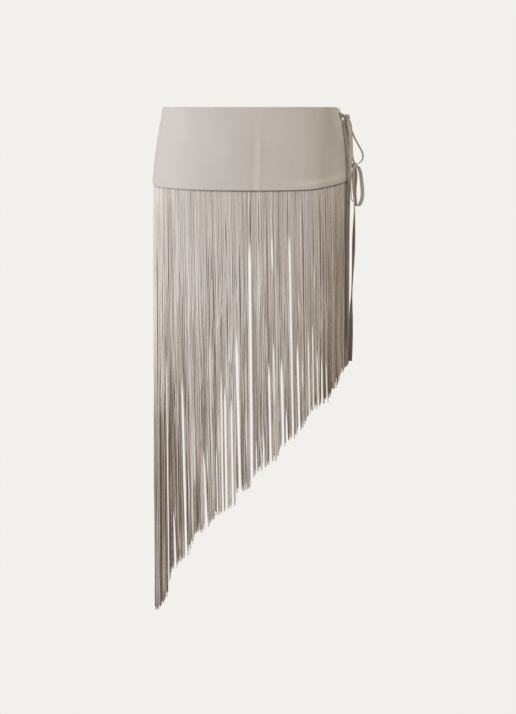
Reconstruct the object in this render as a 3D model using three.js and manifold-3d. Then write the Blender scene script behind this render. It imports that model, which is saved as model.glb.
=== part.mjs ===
// Fringe belt: a contoured hip band in two panels, laced with two bows at the wearer's left side,
// with a long diagonal fringe hanging from a tape behind its hem. It keeps its worn, hollow form.
// Millimetres, +Z up. The wearer faces -Y, so the wearer's left side is at +X.
// The origin is the middle of the waist opening, level with its side points.
import * as THREE from "three";
import { mergeVertices } from "three/addons/utils/BufferGeometryUtils.js";
import Module from "manifold-3d";

const wasm = await Module();
wasm.setup();

// The figure that the band lies on
const waistHalfWidth = 153.2;
const hipHalfWidth = 172;
const waistFrontDepth = 100;
const hipFrontDepth = 112;
const waistBackDepth = 106;
const hipBackDepth = 121;
const hipDrop = 165;
const planSquareness = 2.3;

// The band
const clothThickness = 2;
const seamGap = 0.3;
const waistFrontTilt = 0.0865;
const waistBackTilt = 0.055;
const hemSideDrop = 132.7;
const hemFrontDip = 18.5;
const hemBackDip = 13;
const openingFrontY = -25;
const openingBackY = 2;
const openingWaistSetback = 13;
const openingCornerRadius = 9;
const backWaistCornerRadius = 26;
const openingHemLift = 9.5;
const openingLiftReach = 115;
const bandColumns = 34;
const bandRows = 3;

// The fringe
const lockCount = 250;
const lockWidth = 2.8;
const lockFaceWidth = 2;
const lockDepth = 1.8;
const lockEndShare = 0.85;
const tapeThickness = 1.5;
const tapeClearance = 0.6;
const tapeTopAboveHem = 11;
const tapeRootAboveHem = 1.5;
const tapeEndMargin = 1;
const tapeCornerMargin = 8;
const tapeTopEvery = 8;
const fringeLean = 0.0035;
const raggedness = 3;
const partingReach = 16;
const partingOpensOver = 110;
// The height at which each lock may bend
const lockBend = -320;

// The cut line of the fringe: the height of the lock ends, across the belt
const cutLine = [
  { x: -172, height: -866 },
  { x: -158, height: -861 },
  { x: -149, height: -847 },
  { x: -144, height: -817 },
  { x: -137, height: -796 },
  { x: -115, height: -773 },
  { x: -102, height: -753 },
  { x: -97, height: -732 },
  { x: -80, height: -724 },
  { x: -56, height: -697 },
  { x: -28, height: -681 },
  { x: -23, height: -656 },
  { x: -4, height: -656 },
  { x: 6, height: -631 },
  { x: 29, height: -613 },
  { x: 45, height: -602 },
  { x: 50, height: -582 },
  { x: 86, height: -553 },
  { x: 101, height: -521 },
  { x: 131, height: -503 },
  { x: 146, height: -476 },
  { x: 155, height: -455 },
  { x: 172, height: -437 },
];

// The places where the fringe parts: across the belt, the height where the gap starts, and its width
const partings = [
  { x: -146, top: -420, width: 1.6 },
  { x: -117, top: -480, width: 1.6 },
  { x: -81, top: -540, width: 1.8 },
  { x: -44, top: -480, width: 1.6 },
  { x: -23, top: -400, width: 2.4 },
  { x: -1, top: -210, width: 2.4 },
  { x: 31, top: -440, width: 2.4 },
  { x: 52, top: -438, width: 2.2 },
  { x: 69, top: -240, width: 2 },
  { x: 80, top: -418, width: 2 },
  { x: 128, top: -450, width: 1.6 },
];

// The ties: flat ribbons, bunched where they enter a knot
const ribbonWidth = 6.5;
const ribbonThickness = 1.2;
const bunchedShare = 0.5;
const bunchLength = 12;
const loopStep = 7;
const tailStep = 13;
const knotClearance = 0.35;
const stubInset = 3.6;
const stubReach = 12;
const stubSwing = 5;
const knotSides = 12;
const wrapHalfWidth = 1.6;
const wrapOut = 0.8;
const wrapSeatShare = 0.8;
const mergeDistance = 1e-4;

// Each tie's knot: its middle, the lean of its wrap, and where its sewn ends leave the cloth
const knotHalfWidth = 4.1;
const knotHalfDepth = 4.6;
const knotHalfHeight = 5.5;
const knots = {
  upper: { x: 164.8, y: -14, z: -18.8, sewnAt: -15, lean: 35 },
  lower: { x: 177.2, y: -14, z: -102, sewnAt: -98, lean: -30 },
};

// Routes of the loops and tails. The turn is the plan angle of the ribbon's width.
const upperBackLoop = [
  { x: 167, y: -12, z: -20, turn: -69 },
  { x: 170.6, y: -9, z: -33.6, turn: -69 },
  { x: 175.3, y: -6, z: -47.2, turn: -69 },
  { x: 181, y: -4, z: -59.1, turn: -69 },
  { x: 186.9, y: -3, z: -69.4, turn: -69 },
  { x: 191.3, y: -2, z: -78, turn: -69 },
  { x: 192.8, y: -1.5, z: -86, turn: -69 },
  { x: 190.8, y: -1.5, z: -92.8, turn: -69 },
  { x: 186.5, y: -2, z: -97, turn: -69 },
  { x: 181.5, y: -2.5, z: -98.2, turn: -69 },
  { x: 177.2, y: -3.5, z: -95.4, turn: -69 },
  { x: 175, y: -4.5, z: -88, turn: -69 },
  { x: 173.8, y: -7, z: -72, turn: -69 },
  { x: 170.5, y: -10, z: -46, turn: -69 },
  { x: 166, y: -12, z: -22, turn: -69 },
];
const upperFrontLoop = [
  { x: 162.4, y: -17, z: -20, turn: 0 },
  { x: 159.8, y: -22, z: -31, turn: 0 },
  { x: 161.4, y: -28, z: -48, turn: 0 },
  { x: 164, y: -31, z: -66, turn: 0 },
  { x: 165.8, y: -32, z: -80, turn: 0 },
  { x: 167.6, y: -32, z: -90.5, turn: 0 },
  { x: 168.8, y: -30.5, z: -97, turn: 0 },
  { x: 169, y: -27, z: -99, turn: 0 },
  { x: 168, y: -23.5, z: -88, turn: 0 },
  { x: 165.8, y: -20, z: -58.6, turn: 0 },
  { x: 164.4, y: -17.5, z: -37.8, turn: 0 },
  { x: 164.2, y: -14.5, z: -21, turn: 0 },
];
const upperFrontTail = [
  { x: 165.5, y: -18, z: -20, turn: 10 },
  { x: 167.4, y: -25, z: -28, turn: 10 },
  { x: 168.8, y: -30, z: -37, turn: 8 },
  { x: 170.2, y: -34, z: -48, turn: 6 },
  { x: 170.8, y: -37, z: -62, turn: 5 },
  { x: 171.2, y: -39, z: -78, turn: 8 },
  { x: 171, y: -40, z: -89, turn: 16 },
  { x: 170, y: -41, z: -99, turn: 38 },
  { x: 169.8, y: -42, z: -114, turn: 50 },
  { x: 169, y: -43, z: -132, turn: 50 },
  { x: 167.3, y: -44, z: -154, turn: 44 },
  { x: 166.6, y: -45, z: -180, turn: 44 },
  { x: 166, y: -46, z: -214, turn: 46 },
  { x: 165.8, y: -46, z: -249, turn: 48 },
  { x: 165.6, y: -46, z: -292, turn: 50 },
  { x: 165.5, y: -46, z: -335, turn: 55 },
  { x: 165.4, y: -46, z: -378, turn: 60 },
  { x: 165.3, y: -46, z: -419, turn: 62 },
];
const upperBackTail = [
  { x: 166.5, y: -14, z: -20, turn: 10 },
  { x: 169, y: -18, z: -29, turn: 10 },
  { x: 170.2, y: -22, z: -38, turn: 8 },
  { x: 170.9, y: -27, z: -50, turn: 6 },
  { x: 171, y: -32, z: -63, turn: 5 },
  { x: 171.2, y: -35.2, z: -78, turn: 8 },
  { x: 171, y: -36, z: -89, turn: 16 },
  { x: 170, y: -37, z: -99, turn: 38 },
  { x: 169.6, y: -38, z: -114, turn: 50 },
  { x: 168.8, y: -39, z: -132, turn: 50 },
  { x: 167.1, y: -40, z: -154, turn: 44 },
  { x: 166.4, y: -41, z: -180, turn: 44 },
  { x: 165.8, y: -41.5, z: -214, turn: 46 },
  { x: 165.6, y: -41.5, z: -258, turn: 48 },
  { x: 165.4, y: -41.5, z: -309, turn: 52 },
  { x: 165.2, y: -41.5, z: -355, turn: 57 },
  { x: 165.1, y: -41.5, z: -400, turn: 60 },
];
const lowerBackLoop = [
  { x: 178.5, y: -11, z: -101, turn: -42 },
  { x: 184, y: -4, z: -103.5, turn: -36 },
  { x: 188.2, y: 3, z: -112, turn: -24 },
  { x: 191.1, y: 9, z: -130.6, turn: -14 },
  { x: 192.4, y: 12, z: -149.5, turn: -10 },
  { x: 190.8, y: 12, z: -161, turn: -12 },
  { x: 186.5, y: 9, z: -169.5, turn: -20 },
  { x: 181.8, y: 6, z: -170, turn: -30 },
  { x: 179.4, y: 4, z: -158, turn: -38 },
  { x: 179.4, y: 3.5, z: -140, turn: -42 },
  { x: 180.8, y: 0.5, z: -121, turn: -42 },
  { x: 180, y: -9, z: -104, turn: -42 },
];
const lowerFrontLoop = [
  { x: 176.5, y: -17, z: -104, turn: 85 },
  { x: 173.2, y: -20.5, z: -115.5, turn: 85 },
  { x: 171.6, y: -21.5, z: -131, turn: 85 },
  { x: 171.6, y: -21.5, z: -148, turn: 85 },
  { x: 172.5, y: -21.5, z: -160.3, turn: 85 },
  { x: 174.4, y: -21.5, z: -164.4, turn: 85 },
  { x: 176.3, y: -21.5, z: -160.3, turn: 85 },
  { x: 176.7, y: -21.5, z: -144.8, turn: 85 },
  { x: 176.6, y: -21, z: -124.1, turn: 85 },
  { x: 177.2, y: -17, z: -104, turn: 85 },
];
const lowerFrontTail = [
  { x: 176, y: -15.2, z: -103, turn: 60 },
  { x: 175.2, y: -13, z: -114, turn: 62 },
  { x: 175, y: -13, z: -127, turn: 62 },
  { x: 175.7, y: -13, z: -144.4, turn: 65 },
  { x: 177.2, y: -13, z: -161.6, turn: 70 },
  { x: 177.7, y: -13, z: -180.6, turn: 72 },
  { x: 177.1, y: -13, z: -204.8, turn: 50 },
  { x: 176.4, y: -13, z: -230.6, turn: 32 },
  { x: 175.8, y: -13, z: -256.5, turn: 40 },
  { x: 174.8, y: -13, z: -282.4, turn: 60 },
  { x: 173.6, y: -13, z: -308.3, turn: 74 },
  { x: 172.8, y: -13, z: -329, turn: 70 },
  { x: 172, y: -13, z: -346.2, turn: 40 },
  { x: 171.9, y: -13, z: -368.7, turn: 15 },
  { x: 171.7, y: -13, z: -403.2, turn: 6 },
  { x: 170.4, y: -13, z: -439.4, turn: 3 },
];
const lowerBackTail = [
  { x: 177.6, y: -9.8, z: -103, turn: 75 },
  { x: 177.4, y: -5.5, z: -114, turn: 76 },
  { x: 176.6, y: -4.5, z: -127, turn: 78 },
  { x: 176.8, y: -4.5, z: -144, turn: 78 },
  { x: 177.5, y: -4.5, z: -161, turn: 78 },
  { x: 177.8, y: -4.5, z: -180, turn: 78 },
  { x: 177.1, y: -4.5, z: -210, turn: 78 },
  { x: 176.5, y: -4.5, z: -239, turn: 78 },
  { x: 175.4, y: -4.5, z: -268, turn: 78 },
  { x: 173.9, y: -4.5, z: -303, turn: 78 },
  { x: 172.8, y: -4.5, z: -334, turn: 78 },
  { x: 172.2, y: -4.5, z: -369, turn: 78 },
  { x: 171.9, y: -4.5, z: -396, turn: 78 },
  { x: 171.4, y: -4.5, z: -424, turn: 78 },
];

// Even steps round the plan, from the wearer's right side, over the front, to the left side and back
const planSteps = 2400;
const plan = [];
for (let step = 0; step <= planSteps; step += 1) {
  const angle = Math.PI + (2 * Math.PI * step) / planSteps;
  const across = Math.sign(Math.cos(angle)) * Math.abs(Math.cos(angle)) ** (2 / planSquareness);
  const deep = Math.sign(Math.sin(angle)) * Math.abs(Math.sin(angle)) ** (2 / planSquareness);
  const depth = deep < 0 ? hipFrontDepth : hipBackDepth;
  const before = plan[step - 1];
  const x = across * hipHalfWidth;
  const y = deep * depth;
  const girth = before ? before.girth + Math.hypot(x - before.x, y - before.y) : 0;
  plan.push({ across, deep, x, y, girth });
}
const hipGirth = plan[planSteps].girth;

// The place on the plan's unit curve for a length along the hip girth
function planAt(girth) {
  const wrapped = ((girth % hipGirth) + hipGirth) % hipGirth;
  let low = 0;
  let high = planSteps;
  while (high - low > 1) {
    const middle = (low + high) >> 1;
    if (plan[middle].girth <= wrapped) low = middle;
    else high = middle;
  }
  const share = (wrapped - plan[low].girth) / (plan[high].girth - plan[low].girth);
  return {
    across: THREE.MathUtils.lerp(plan[low].across, plan[high].across, share),
    deep: THREE.MathUtils.lerp(plan[low].deep, plan[high].deep, share),
  };
}

// The girth length where the plan first meets a given depth or width, between two girth lengths
function girthWhere(key, value, from, to) {
  const rising = plan.find((row) => row.girth >= to)[key] > plan.find((row) => row.girth >= from)[key];
  const met = plan.find((row) => row.girth >= from && (rising ? row[key] >= value : row[key] <= value));
  return met.girth;
}

const frontMiddleGirth = plan[planSteps / 4].girth;
const leftSideGirth = plan[planSteps / 2].girth;
const backMiddleGirth = plan[(planSteps * 3) / 4].girth;
const frontEdgeGirth = girthWhere("y", openingFrontY, frontMiddleGirth, leftSideGirth);
const backEdgeGirth = girthWhere("y", openingBackY, leftSideGirth, backMiddleGirth);

// The figure widens from the waist to the hip and hangs straight below it
function swell(drop, atWaist, atHip) {
  const share = THREE.MathUtils.clamp(drop / hipDrop, 0, 1);
  return atWaist + (atHip - atWaist) * Math.sin((share * Math.PI) / 2);
}

// A point at a girth length and height, moved in from the band's outer face
function onFigure(girth, height, inset) {
  const { across, deep } = planAt(girth);
  const width = swell(-height, waistHalfWidth, hipHalfWidth);
  const depth =
    deep < 0
      ? swell(-height, waistFrontDepth, hipFrontDepth)
      : swell(-height, waistBackDepth, hipBackDepth);
  const normal = new THREE.Vector2(
    (Math.sign(across) * Math.abs(across) ** (planSquareness - 1)) / width,
    (Math.sign(deep) * Math.abs(deep) ** (planSquareness - 1)) / depth,
  ).normalize();
  return new THREE.Vector3(across * width - normal.x * inset, deep * depth - normal.y * inset, height);
}

function waistHeight(girth) {
  const y = onFigure(girth, 0, 0).y;
  return y * (y < 0 ? waistFrontTilt : waistBackTilt);
}

// The hem dips at the front and back, and lifts a little towards the opening
function hemHeight(girth) {
  const { deep } = planAt(girth);
  const dip = deep < 0 ? -deep * hemFrontDip : deep * hemBackDip;
  const fromOpening = Math.max(frontEdgeGirth - girth, girth - backEdgeGirth, 0);
  const near = THREE.MathUtils.clamp(1 - fromOpening / openingLiftReach, 0, 1);
  return -hemSideDrop - dip + openingHemLift * near * near * (3 - 2 * near);
}

// A table's value between its rows
function between(table, key, value, at) {
  const next = table.findIndex((row) => row[key] >= at);
  if (next === 0) return table[0][value];
  if (next < 0) return table[table.length - 1][value];
  const share = (at - table[next - 1][key]) / (table[next][key] - table[next - 1][key]);
  return THREE.MathUtils.lerp(table[next - 1][value], table[next][value], share);
}

// A repeatable uneven number from 0 to 1
function uneven(seed) {
  const wave = Math.sin(seed * 12.9898 + 4.1) * 43758.5453;
  return wave - Math.floor(wave);
}

// Collects points and faces into one closed body
class Body {
  constructor() {
    this.places = [];
    this.faces = [];
  }

  point(vector) {
    this.places.push(vector.x, vector.y, vector.z);
    return this.places.length / 3 - 1;
  }

  quad(a, b, c, d) {
    this.faces.push(a, b, c, a, c, d);
  }

  geometry() {
    const geometry = new THREE.BufferGeometry();
    geometry.setAttribute("position", new THREE.Float32BufferAttribute(this.places, 3));
    geometry.setIndex(this.faces);
    return geometry;
  }
}

// The band's depth at its free edge
const openingDepth = waistHeight(frontEdgeGirth) - hemHeight(frontEdgeGirth);

// The front panel's free edge slants: it stands back at the waist and reaches forward at the hem
function frontEdgeAt(height) {
  const above = (height - hemHeight(frontEdgeGirth)) / openingDepth;
  return frontEdgeGirth - openingWaistSetback * above;
}

// One panel of the band: an outer and an inner grid joined at the edges. The corners at the
// opening are rounded, so each row ends a little sooner near the waist and the hem.
function bandPanel(from, to, openingAtEnd) {
  const body = new Body();
  const cornerShares = [0, 0.13, 0.4, 1];
  const waistRadius = openingAtEnd ? openingCornerRadius : backWaistCornerRadius;
  const hemRadius = openingCornerRadius;
  const rows = [
    ...cornerShares.map((share) => ({ down: 0, offset: -share * waistRadius, radius: waistRadius })),
    ...Array.from({ length: bandRows }, (unused, row) => ({
      down: (row + 1) / (bandRows + 1),
      offset: 0,
      radius: 0,
    })),
    ...cornerShares.map((share) => ({ down: 1, offset: share * hemRadius, radius: hemRadius })).reverse(),
  ];
  const grids = [0, clothThickness].map((inset) =>
    rows.map(({ down, offset, radius }) => {
      const short = radius - Math.abs(offset);
      const cut = radius - Math.sqrt(radius ** 2 - short ** 2);
      const setback = openingWaistSetback * (1 - down + offset / openingDepth);
      const start = openingAtEnd ? from : from + cut;
      const end = openingAtEnd ? to - cut - setback : to;
      return Array.from({ length: bandColumns + 1 }, (unused, column) => {
        const girth = THREE.MathUtils.lerp(start, end, column / bandColumns);
        const height = THREE.MathUtils.lerp(waistHeight(girth), hemHeight(girth), down) + offset;
        return body.point(onFigure(girth, height, inset));
      });
    }),
  );
  const [outer, inner] = grids;
  const lastRow = rows.length - 1;
  for (let row = 0; row < lastRow; row += 1) {
    for (let column = 0; column < bandColumns; column += 1) {
      const next = column + 1;
      body.quad(outer[row][column], outer[row + 1][column], outer[row + 1][next], outer[row][next]);
      body.quad(inner[row][column], inner[row][next], inner[row + 1][next], inner[row + 1][column]);
    }
    body.quad(outer[row][0], inner[row][0], inner[row + 1][0], outer[row + 1][0]);
    body.quad(
      outer[row][bandColumns],
      outer[row + 1][bandColumns],
      inner[row + 1][bandColumns],
      inner[row][bandColumns],
    );
  }
  for (let column = 0; column < bandColumns; column += 1) {
    body.quad(outer[0][column], outer[0][column + 1], inner[0][column + 1], inner[0][column]);
    body.quad(
      outer[lastRow][column],
      inner[lastRow][column],
      inner[lastRow][column + 1],
      outer[lastRow][column + 1],
    );
  }
  return body.geometry();
}

// How far a lock is pushed along the girth by the partings near it
function parted(girth, height, gaps) {
  let shift = 0;
  for (const gap of gaps) {
    const open = THREE.MathUtils.smoothstep(gap.top - height, 0, partingOpensOver);
    const away = girth - gap.girth;
    shift += (Math.sign(away) * open * gap.width * Math.exp(-Math.abs(away) / partingReach)) / 2;
  }
  return shift;
}

// A fringe: a tape whose lower edge runs out into separate four-sided locks
function fringe(from, to, count, gaps, seed) {
  const body = new Body();
  const pitch = (to - from) / count;
  const rootInset = clothThickness + tapeClearance;
  const edges = [from];
  for (let lock = 0; lock < count; lock += 1) {
    const middle = from + (lock + 0.5) * pitch;
    edges.push(middle - lockWidth / 2, middle + lockWidth / 2);
  }
  edges.push(to);
  const columns = edges.map((girth) => {
    const height = hemHeight(girth) + tapeRootAboveHem;
    return {
      outer: body.point(onFigure(girth, height, rootInset)),
      inner: body.point(onFigure(girth, height, rootInset + tapeThickness)),
    };
  });
  const last = edges.length - 1;
  const tops = [];
  for (let column = 0; column < last; column += tapeTopEvery) tops.push(column);
  if (last - tops[tops.length - 1] < tapeTopEvery / 2) tops.pop();
  tops.push(last);
  const rim = tops.map((column) => {
    const height = hemHeight(edges[column]) + tapeTopAboveHem;
    return {
      outer: body.point(onFigure(edges[column], height, rootInset)),
      inner: body.point(onFigure(edges[column], height, rootInset + tapeThickness)),
    };
  });
  for (let top = 0; top < tops.length - 1; top += 1) {
    const [left, right] = [rim[top], rim[top + 1]];
    const half = (tops[top] + tops[top + 1]) >> 1;
    for (let column = tops[top]; column < tops[top + 1]; column += 1) {
      const nearest = column < half ? left : right;
      body.faces.push(columns[column].outer, columns[column + 1].outer, nearest.outer);
      body.faces.push(columns[column + 1].inner, columns[column].inner, nearest.inner);
    }
    body.faces.push(left.outer, columns[half].outer, right.outer);
    body.faces.push(right.inner, columns[half].inner, left.inner);
    body.quad(left.outer, right.outer, right.inner, left.inner);
  }
  body.quad(columns[0].outer, rim[0].outer, rim[0].inner, columns[0].inner);
  const lastRim = rim[rim.length - 1];
  body.quad(columns[last].outer, columns[last].inner, lastRim.inner, lastRim.outer);
  for (let column = 0; column < last; column += 2) {
    const [left, right] = [columns[column], columns[column + 1]];
    body.quad(left.outer, left.inner, right.inner, right.outer);
  }
  for (let lock = 0; lock < count; lock += 1) {
    const middle = from + (lock + 0.5) * pitch;
    const across = onFigure(middle, -hipDrop, rootInset).x;
    const end = between(cutLine, "x", "height", across) + (uneven(lock + seed) - 0.5) * 2 * raggedness;
    const [left, right] = [columns[2 * lock + 1], columns[2 * lock + 2]];
    let above = [left.outer, right.outer, right.inner, left.inner];
    for (const height of [lockBend, end]) {
      const share = height === end ? lockEndShare : 1;
      const place = middle + parted(middle, height, gaps);
      const lean = new THREE.Vector3((hemHeight(middle) - height) * fringeLean, 0, 0);
      const ring = [
        [-lockFaceWidth / 2, 0],
        [lockFaceWidth / 2, 0],
        [lockWidth / 2, lockDepth],
        [-lockWidth / 2, lockDepth],
      ].map(([along, inwards]) =>
        body.point(onFigure(place + along * share, height, rootInset + inwards * share).add(lean)),
      );
      for (let side = 0; side < 4; side += 1) {
        const next = (side + 1) % 4;
        body.quad(above[side], ring[side], ring[next], above[next]);
      }
      above = ring;
    }
    body.quad(above[0], above[3], above[2], above[1]);
  }
  return body.geometry();
}

// The ribbon's half width at a place on its run, bunched at the ends that enter a knot
function ribbonHalf(length, total, bunchedStart, bunchedEnd) {
  const fromStart = bunchedStart ? length : total;
  const fromEnd = bunchedEnd ? total - length : total;
  const open = Math.min(fromStart / bunchLength, fromEnd / bunchLength, 1);
  return (THREE.MathUtils.lerp(bunchedShare, 1, open) * ribbonWidth) / 2;
}

// A flat ribbon swept along a route, with a width direction for each of its points
function ribbon(points, widths, stepLength, bunchedStart, bunchedEnd) {
  const body = new Body();
  const curve = new THREE.CatmullRomCurve3(points, false, "centripetal");
  const total = curve.getLength();
  const steps = Math.max(6, Math.round(total / stepLength));
  let above = null;
  for (let step = 0; step <= steps; step += 1) {
    const run = curve.getUtoTmapping(step / steps);
    const at = run * (points.length - 1);
    const index = Math.min(Math.floor(at), points.length - 2);
    const along = curve.getTangent(run);
    const across = widths[index].clone().lerp(widths[index + 1], at - index);
    across.addScaledVector(along, -across.dot(along)).normalize();
    const face = along.clone().cross(across);
    const half = ribbonHalf((total * step) / steps, total, bunchedStart, bunchedEnd);
    const ring = [
      [-half, -ribbonThickness / 2],
      [half, -ribbonThickness / 2],
      [half, ribbonThickness / 2],
      [-half, ribbonThickness / 2],
    ].map(([wide, thick]) =>
      body.point(curve.getPoint(run).addScaledVector(across, wide).addScaledVector(face, thick)),
    );
    if (above) {
      for (let side = 0; side < 4; side += 1) {
        const next = (side + 1) % 4;
        body.quad(above[side], above[next], ring[next], ring[side]);
      }
    } else {
      body.quad(ring[0], ring[3], ring[2], ring[1]);
    }
    above = ring;
  }
  body.quad(above[0], above[1], above[2], above[3]);
  return body.geometry();
}

// A ribbon through the rows of a route table
function routeRibbon(route, stepLength, bunchedEnd) {
  const points = route.map((row) => new THREE.Vector3(row.x, row.y, row.z));
  const widths = route.map((row) => {
    const angle = THREE.MathUtils.degToRad(row.turn);
    return new THREE.Vector3(Math.cos(angle), Math.sin(angle), 0);
  });
  return ribbon(points, widths, stepLength, true, bunchedEnd);
}

// The sewn end of a tie: from inside the cloth, round its edge at the opening, to the knot
function stubRibbon(edgeGirth, towardsOpening, knot) {
  const points = [
    onFigure(edgeGirth - towardsOpening * stubReach, knot.sewnAt, stubInset),
    onFigure(edgeGirth + towardsOpening, knot.sewnAt, stubInset),
    onFigure(edgeGirth + towardsOpening * stubSwing, knot.sewnAt, stubInset / 2),
    new THREE.Vector3(knot.x, knot.y, knot.z),
  ];
  const upright = points.map(() => new THREE.Vector3(0, 0, 1));
  return ribbon(points, upright, loopStep, false, true);
}

function toSolid(geometry) {
  const bare = geometry.clone();
  bare.deleteAttribute("normal");
  bare.deleteAttribute("uv");
  const merged = mergeVertices(bare, mergeDistance);
  const mesh = new wasm.Mesh({
    numProp: 3,
    vertProperties: new Float32Array(merged.attributes.position.array),
    triVerts: new Uint32Array(merged.index.array),
  });
  return new wasm.Manifold(mesh);
}

function fromSolid(solid) {
  const mesh = solid.getMesh();
  const geometry = new THREE.BufferGeometry();
  geometry.setAttribute("position", new THREE.BufferAttribute(new Float32Array(mesh.vertProperties), 3));
  geometry.setIndex(new THREE.BufferAttribute(new Uint32Array(mesh.triVerts), 1));
  return geometry;
}

// The knot: a pinched lump of ribbon with one turn of ribbon wound slantwise round it
function knotSolid(knot) {
  const lump = new THREE.SphereGeometry(1, knotSides, (knotSides * 2) / 3);
  lump.scale(knotHalfWidth, knotHalfDepth, knotHalfHeight);
  const seat = knotHalfWidth * wrapSeatShare;
  const rim = knotHalfWidth + wrapOut;
  const section = [
    [seat, -wrapHalfWidth],
    [rim, -wrapHalfWidth],
    [rim, wrapHalfWidth],
    [seat, wrapHalfWidth],
    [seat, -wrapHalfWidth],
  ];
  const wrap = new THREE.LatheGeometry(
    section.map(([radius, along]) => new THREE.Vector2(radius, along)),
    knotSides,
  );
  wrap.rotateX(Math.PI / 2);
  wrap.rotateY(THREE.MathUtils.degToRad(knot.lean));
  const solid = toSolid(lump).add(toSolid(wrap));
  return solid.translate([knot.x, knot.y, knot.z]);
}

// The bow: its knot, its two loops and its two sewn ends, joined
function bowSolid(knot, loops) {
  const pieces = [
    ...loops.map((route) => routeRibbon(route, loopStep, true)),
    stubRibbon(frontEdgeAt(knot.sewnAt), 1, knot),
    stubRibbon(backEdgeGirth, -1, knot),
  ];
  return pieces.reduce((joined, piece) => joined.add(toSolid(piece)), knotSolid(knot));
}

// A free tail, cut back just clear of the bow that it leaves
function tailSolid(route, bow) {
  let tail = toSolid(routeRibbon(route, tailStep, false));
  for (const axis of [0, 1, 2]) {
    for (const side of [-knotClearance, knotClearance]) {
      const away = [0, 0, 0];
      away[axis] = side;
      tail = tail.subtract(bow.translate(away));
    }
  }
  return tail;
}

const clothFinish = { color: 0xbfb5ad, roughness: 0.85, metalness: 0 };
const fringeFinish = { color: 0xae9f93, roughness: 0.75, metalness: 0 };
const ribbonFinish = { color: 0x8d7f73, roughness: 0.7, metalness: 0 };

const belt = new THREE.Group();

function addPiece(name, geometry, finish) {
  const mesh = new THREE.Mesh(geometry, new THREE.MeshStandardMaterial(finish));
  mesh.name = name;
  belt.add(mesh);
}

addPiece("yoke_front", bandPanel(seamGap / 2, frontEdgeGirth, true), clothFinish);
addPiece("yoke_back", bandPanel(backEdgeGirth, hipGirth - seamGap / 2, false), clothFinish);

// The two fringes share the locks by their length
const frontFringe = { from: tapeEndMargin, to: frontEdgeGirth - tapeCornerMargin };
const backFringe = { from: backEdgeGirth + tapeCornerMargin, to: hipGirth - tapeEndMargin };
const frontLength = frontFringe.to - frontFringe.from;
const backLength = backFringe.to - backFringe.from;
const frontLocks = Math.round((lockCount * frontLength) / (frontLength + backLength));
const frontGaps = partings.map((row) => ({ ...row, girth: girthWhere("x", row.x, 0, leftSideGirth) }));
const backGaps = partings.map((row) => ({ ...row, girth: girthWhere("x", row.x, leftSideGirth, hipGirth) }));
addPiece("fringe_front", fringe(frontFringe.from, frontFringe.to, frontLocks, frontGaps, 0), fringeFinish);
addPiece(
  "fringe_back",
  fringe(backFringe.from, backFringe.to, lockCount - frontLocks, backGaps, frontLocks),
  fringeFinish,
);

const upperBow = bowSolid(knots.upper, [upperBackLoop, upperFrontLoop]);
const lowerBow = bowSolid(knots.lower, [lowerBackLoop, lowerFrontLoop]);
addPiece("tie_upper_bow", fromSolid(upperBow), ribbonFinish);
addPiece("tie_lower_bow", fromSolid(lowerBow), ribbonFinish);
addPiece("tie_upper_tail_front", fromSolid(tailSolid(upperFrontTail, upperBow)), ribbonFinish);
addPiece("tie_upper_tail_back", fromSolid(tailSolid(upperBackTail, upperBow)), ribbonFinish);
addPiece("tie_lower_tail_front", fromSolid(tailSolid(lowerFrontTail, lowerBow)), ribbonFinish);
addPiece("tie_lower_tail_back", fromSolid(tailSolid(lowerBackTail, lowerBow)), ribbonFinish);

export default belt;
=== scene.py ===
# Fringe belt: a crepe hip band in two panels, laced with two ribbon bows at the wearer's left side,
# and a long diagonal cord fringe all round. Metres, +Z up. The wearer faces -Y, their left is +X.
import math
from collections import namedtuple

import bmesh
import bpy
import numpy as np
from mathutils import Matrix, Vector


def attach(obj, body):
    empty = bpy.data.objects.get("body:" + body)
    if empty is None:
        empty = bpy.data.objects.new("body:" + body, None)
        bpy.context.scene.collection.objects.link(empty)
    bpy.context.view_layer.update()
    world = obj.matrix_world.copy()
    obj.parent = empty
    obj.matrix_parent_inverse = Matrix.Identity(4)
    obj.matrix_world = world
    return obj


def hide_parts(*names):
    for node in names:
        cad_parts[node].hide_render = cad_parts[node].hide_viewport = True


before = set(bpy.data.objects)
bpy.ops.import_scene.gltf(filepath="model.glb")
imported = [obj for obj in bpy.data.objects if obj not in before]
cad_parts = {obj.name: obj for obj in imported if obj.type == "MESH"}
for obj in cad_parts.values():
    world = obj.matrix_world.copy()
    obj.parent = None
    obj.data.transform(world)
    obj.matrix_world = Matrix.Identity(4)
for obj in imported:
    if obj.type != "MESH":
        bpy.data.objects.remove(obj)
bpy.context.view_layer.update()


def rows(kind, *cells):
    """A table: each row is a named tuple of its kind."""
    return [kind(*row) for row in cells]


# The figure that the band lies on: half its width, and its depth before and behind the sides
Size = namedtuple("Size", "half_width front_depth back_depth")
WAIST = Size(0.1532, 0.100, 0.106)
HIP = Size(0.172, 0.112, 0.121)
HIP_DROP = 0.165
PLAN_SQUARENESS = 2.3
PLAN_STEPS = 2400

# The band
CLOTH_THICKNESS = 0.002
SEAM_GAP = 0.0003
WAIST_FRONT_TILT = 0.0865
WAIST_BACK_TILT = 0.055
HEM_SIDE_DROP = 0.1327
HEM_FRONT_DIP = 0.0185
HEM_BACK_DIP = 0.013
OPENING_FRONT_Y = -0.025
OPENING_BACK_Y = 0.002
OPENING_WAIST_SETBACK = 0.013
OPENING_CORNER_RADIUS = 0.009
BACK_WAIST_CORNER_RADIUS = 0.026
OPENING_HEM_LIFT = 0.0095
OPENING_LIFT_REACH = 0.115
BAND_COLUMNS = 230
BAND_ROWS = 58
RIM_STEPS = (0, 0.0001, 0.0003, 0.0007, 0.0012, 0.0018, 0.0026)
RIM_REACH = 0.0018
CREASE_FADE = 0.35

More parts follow.
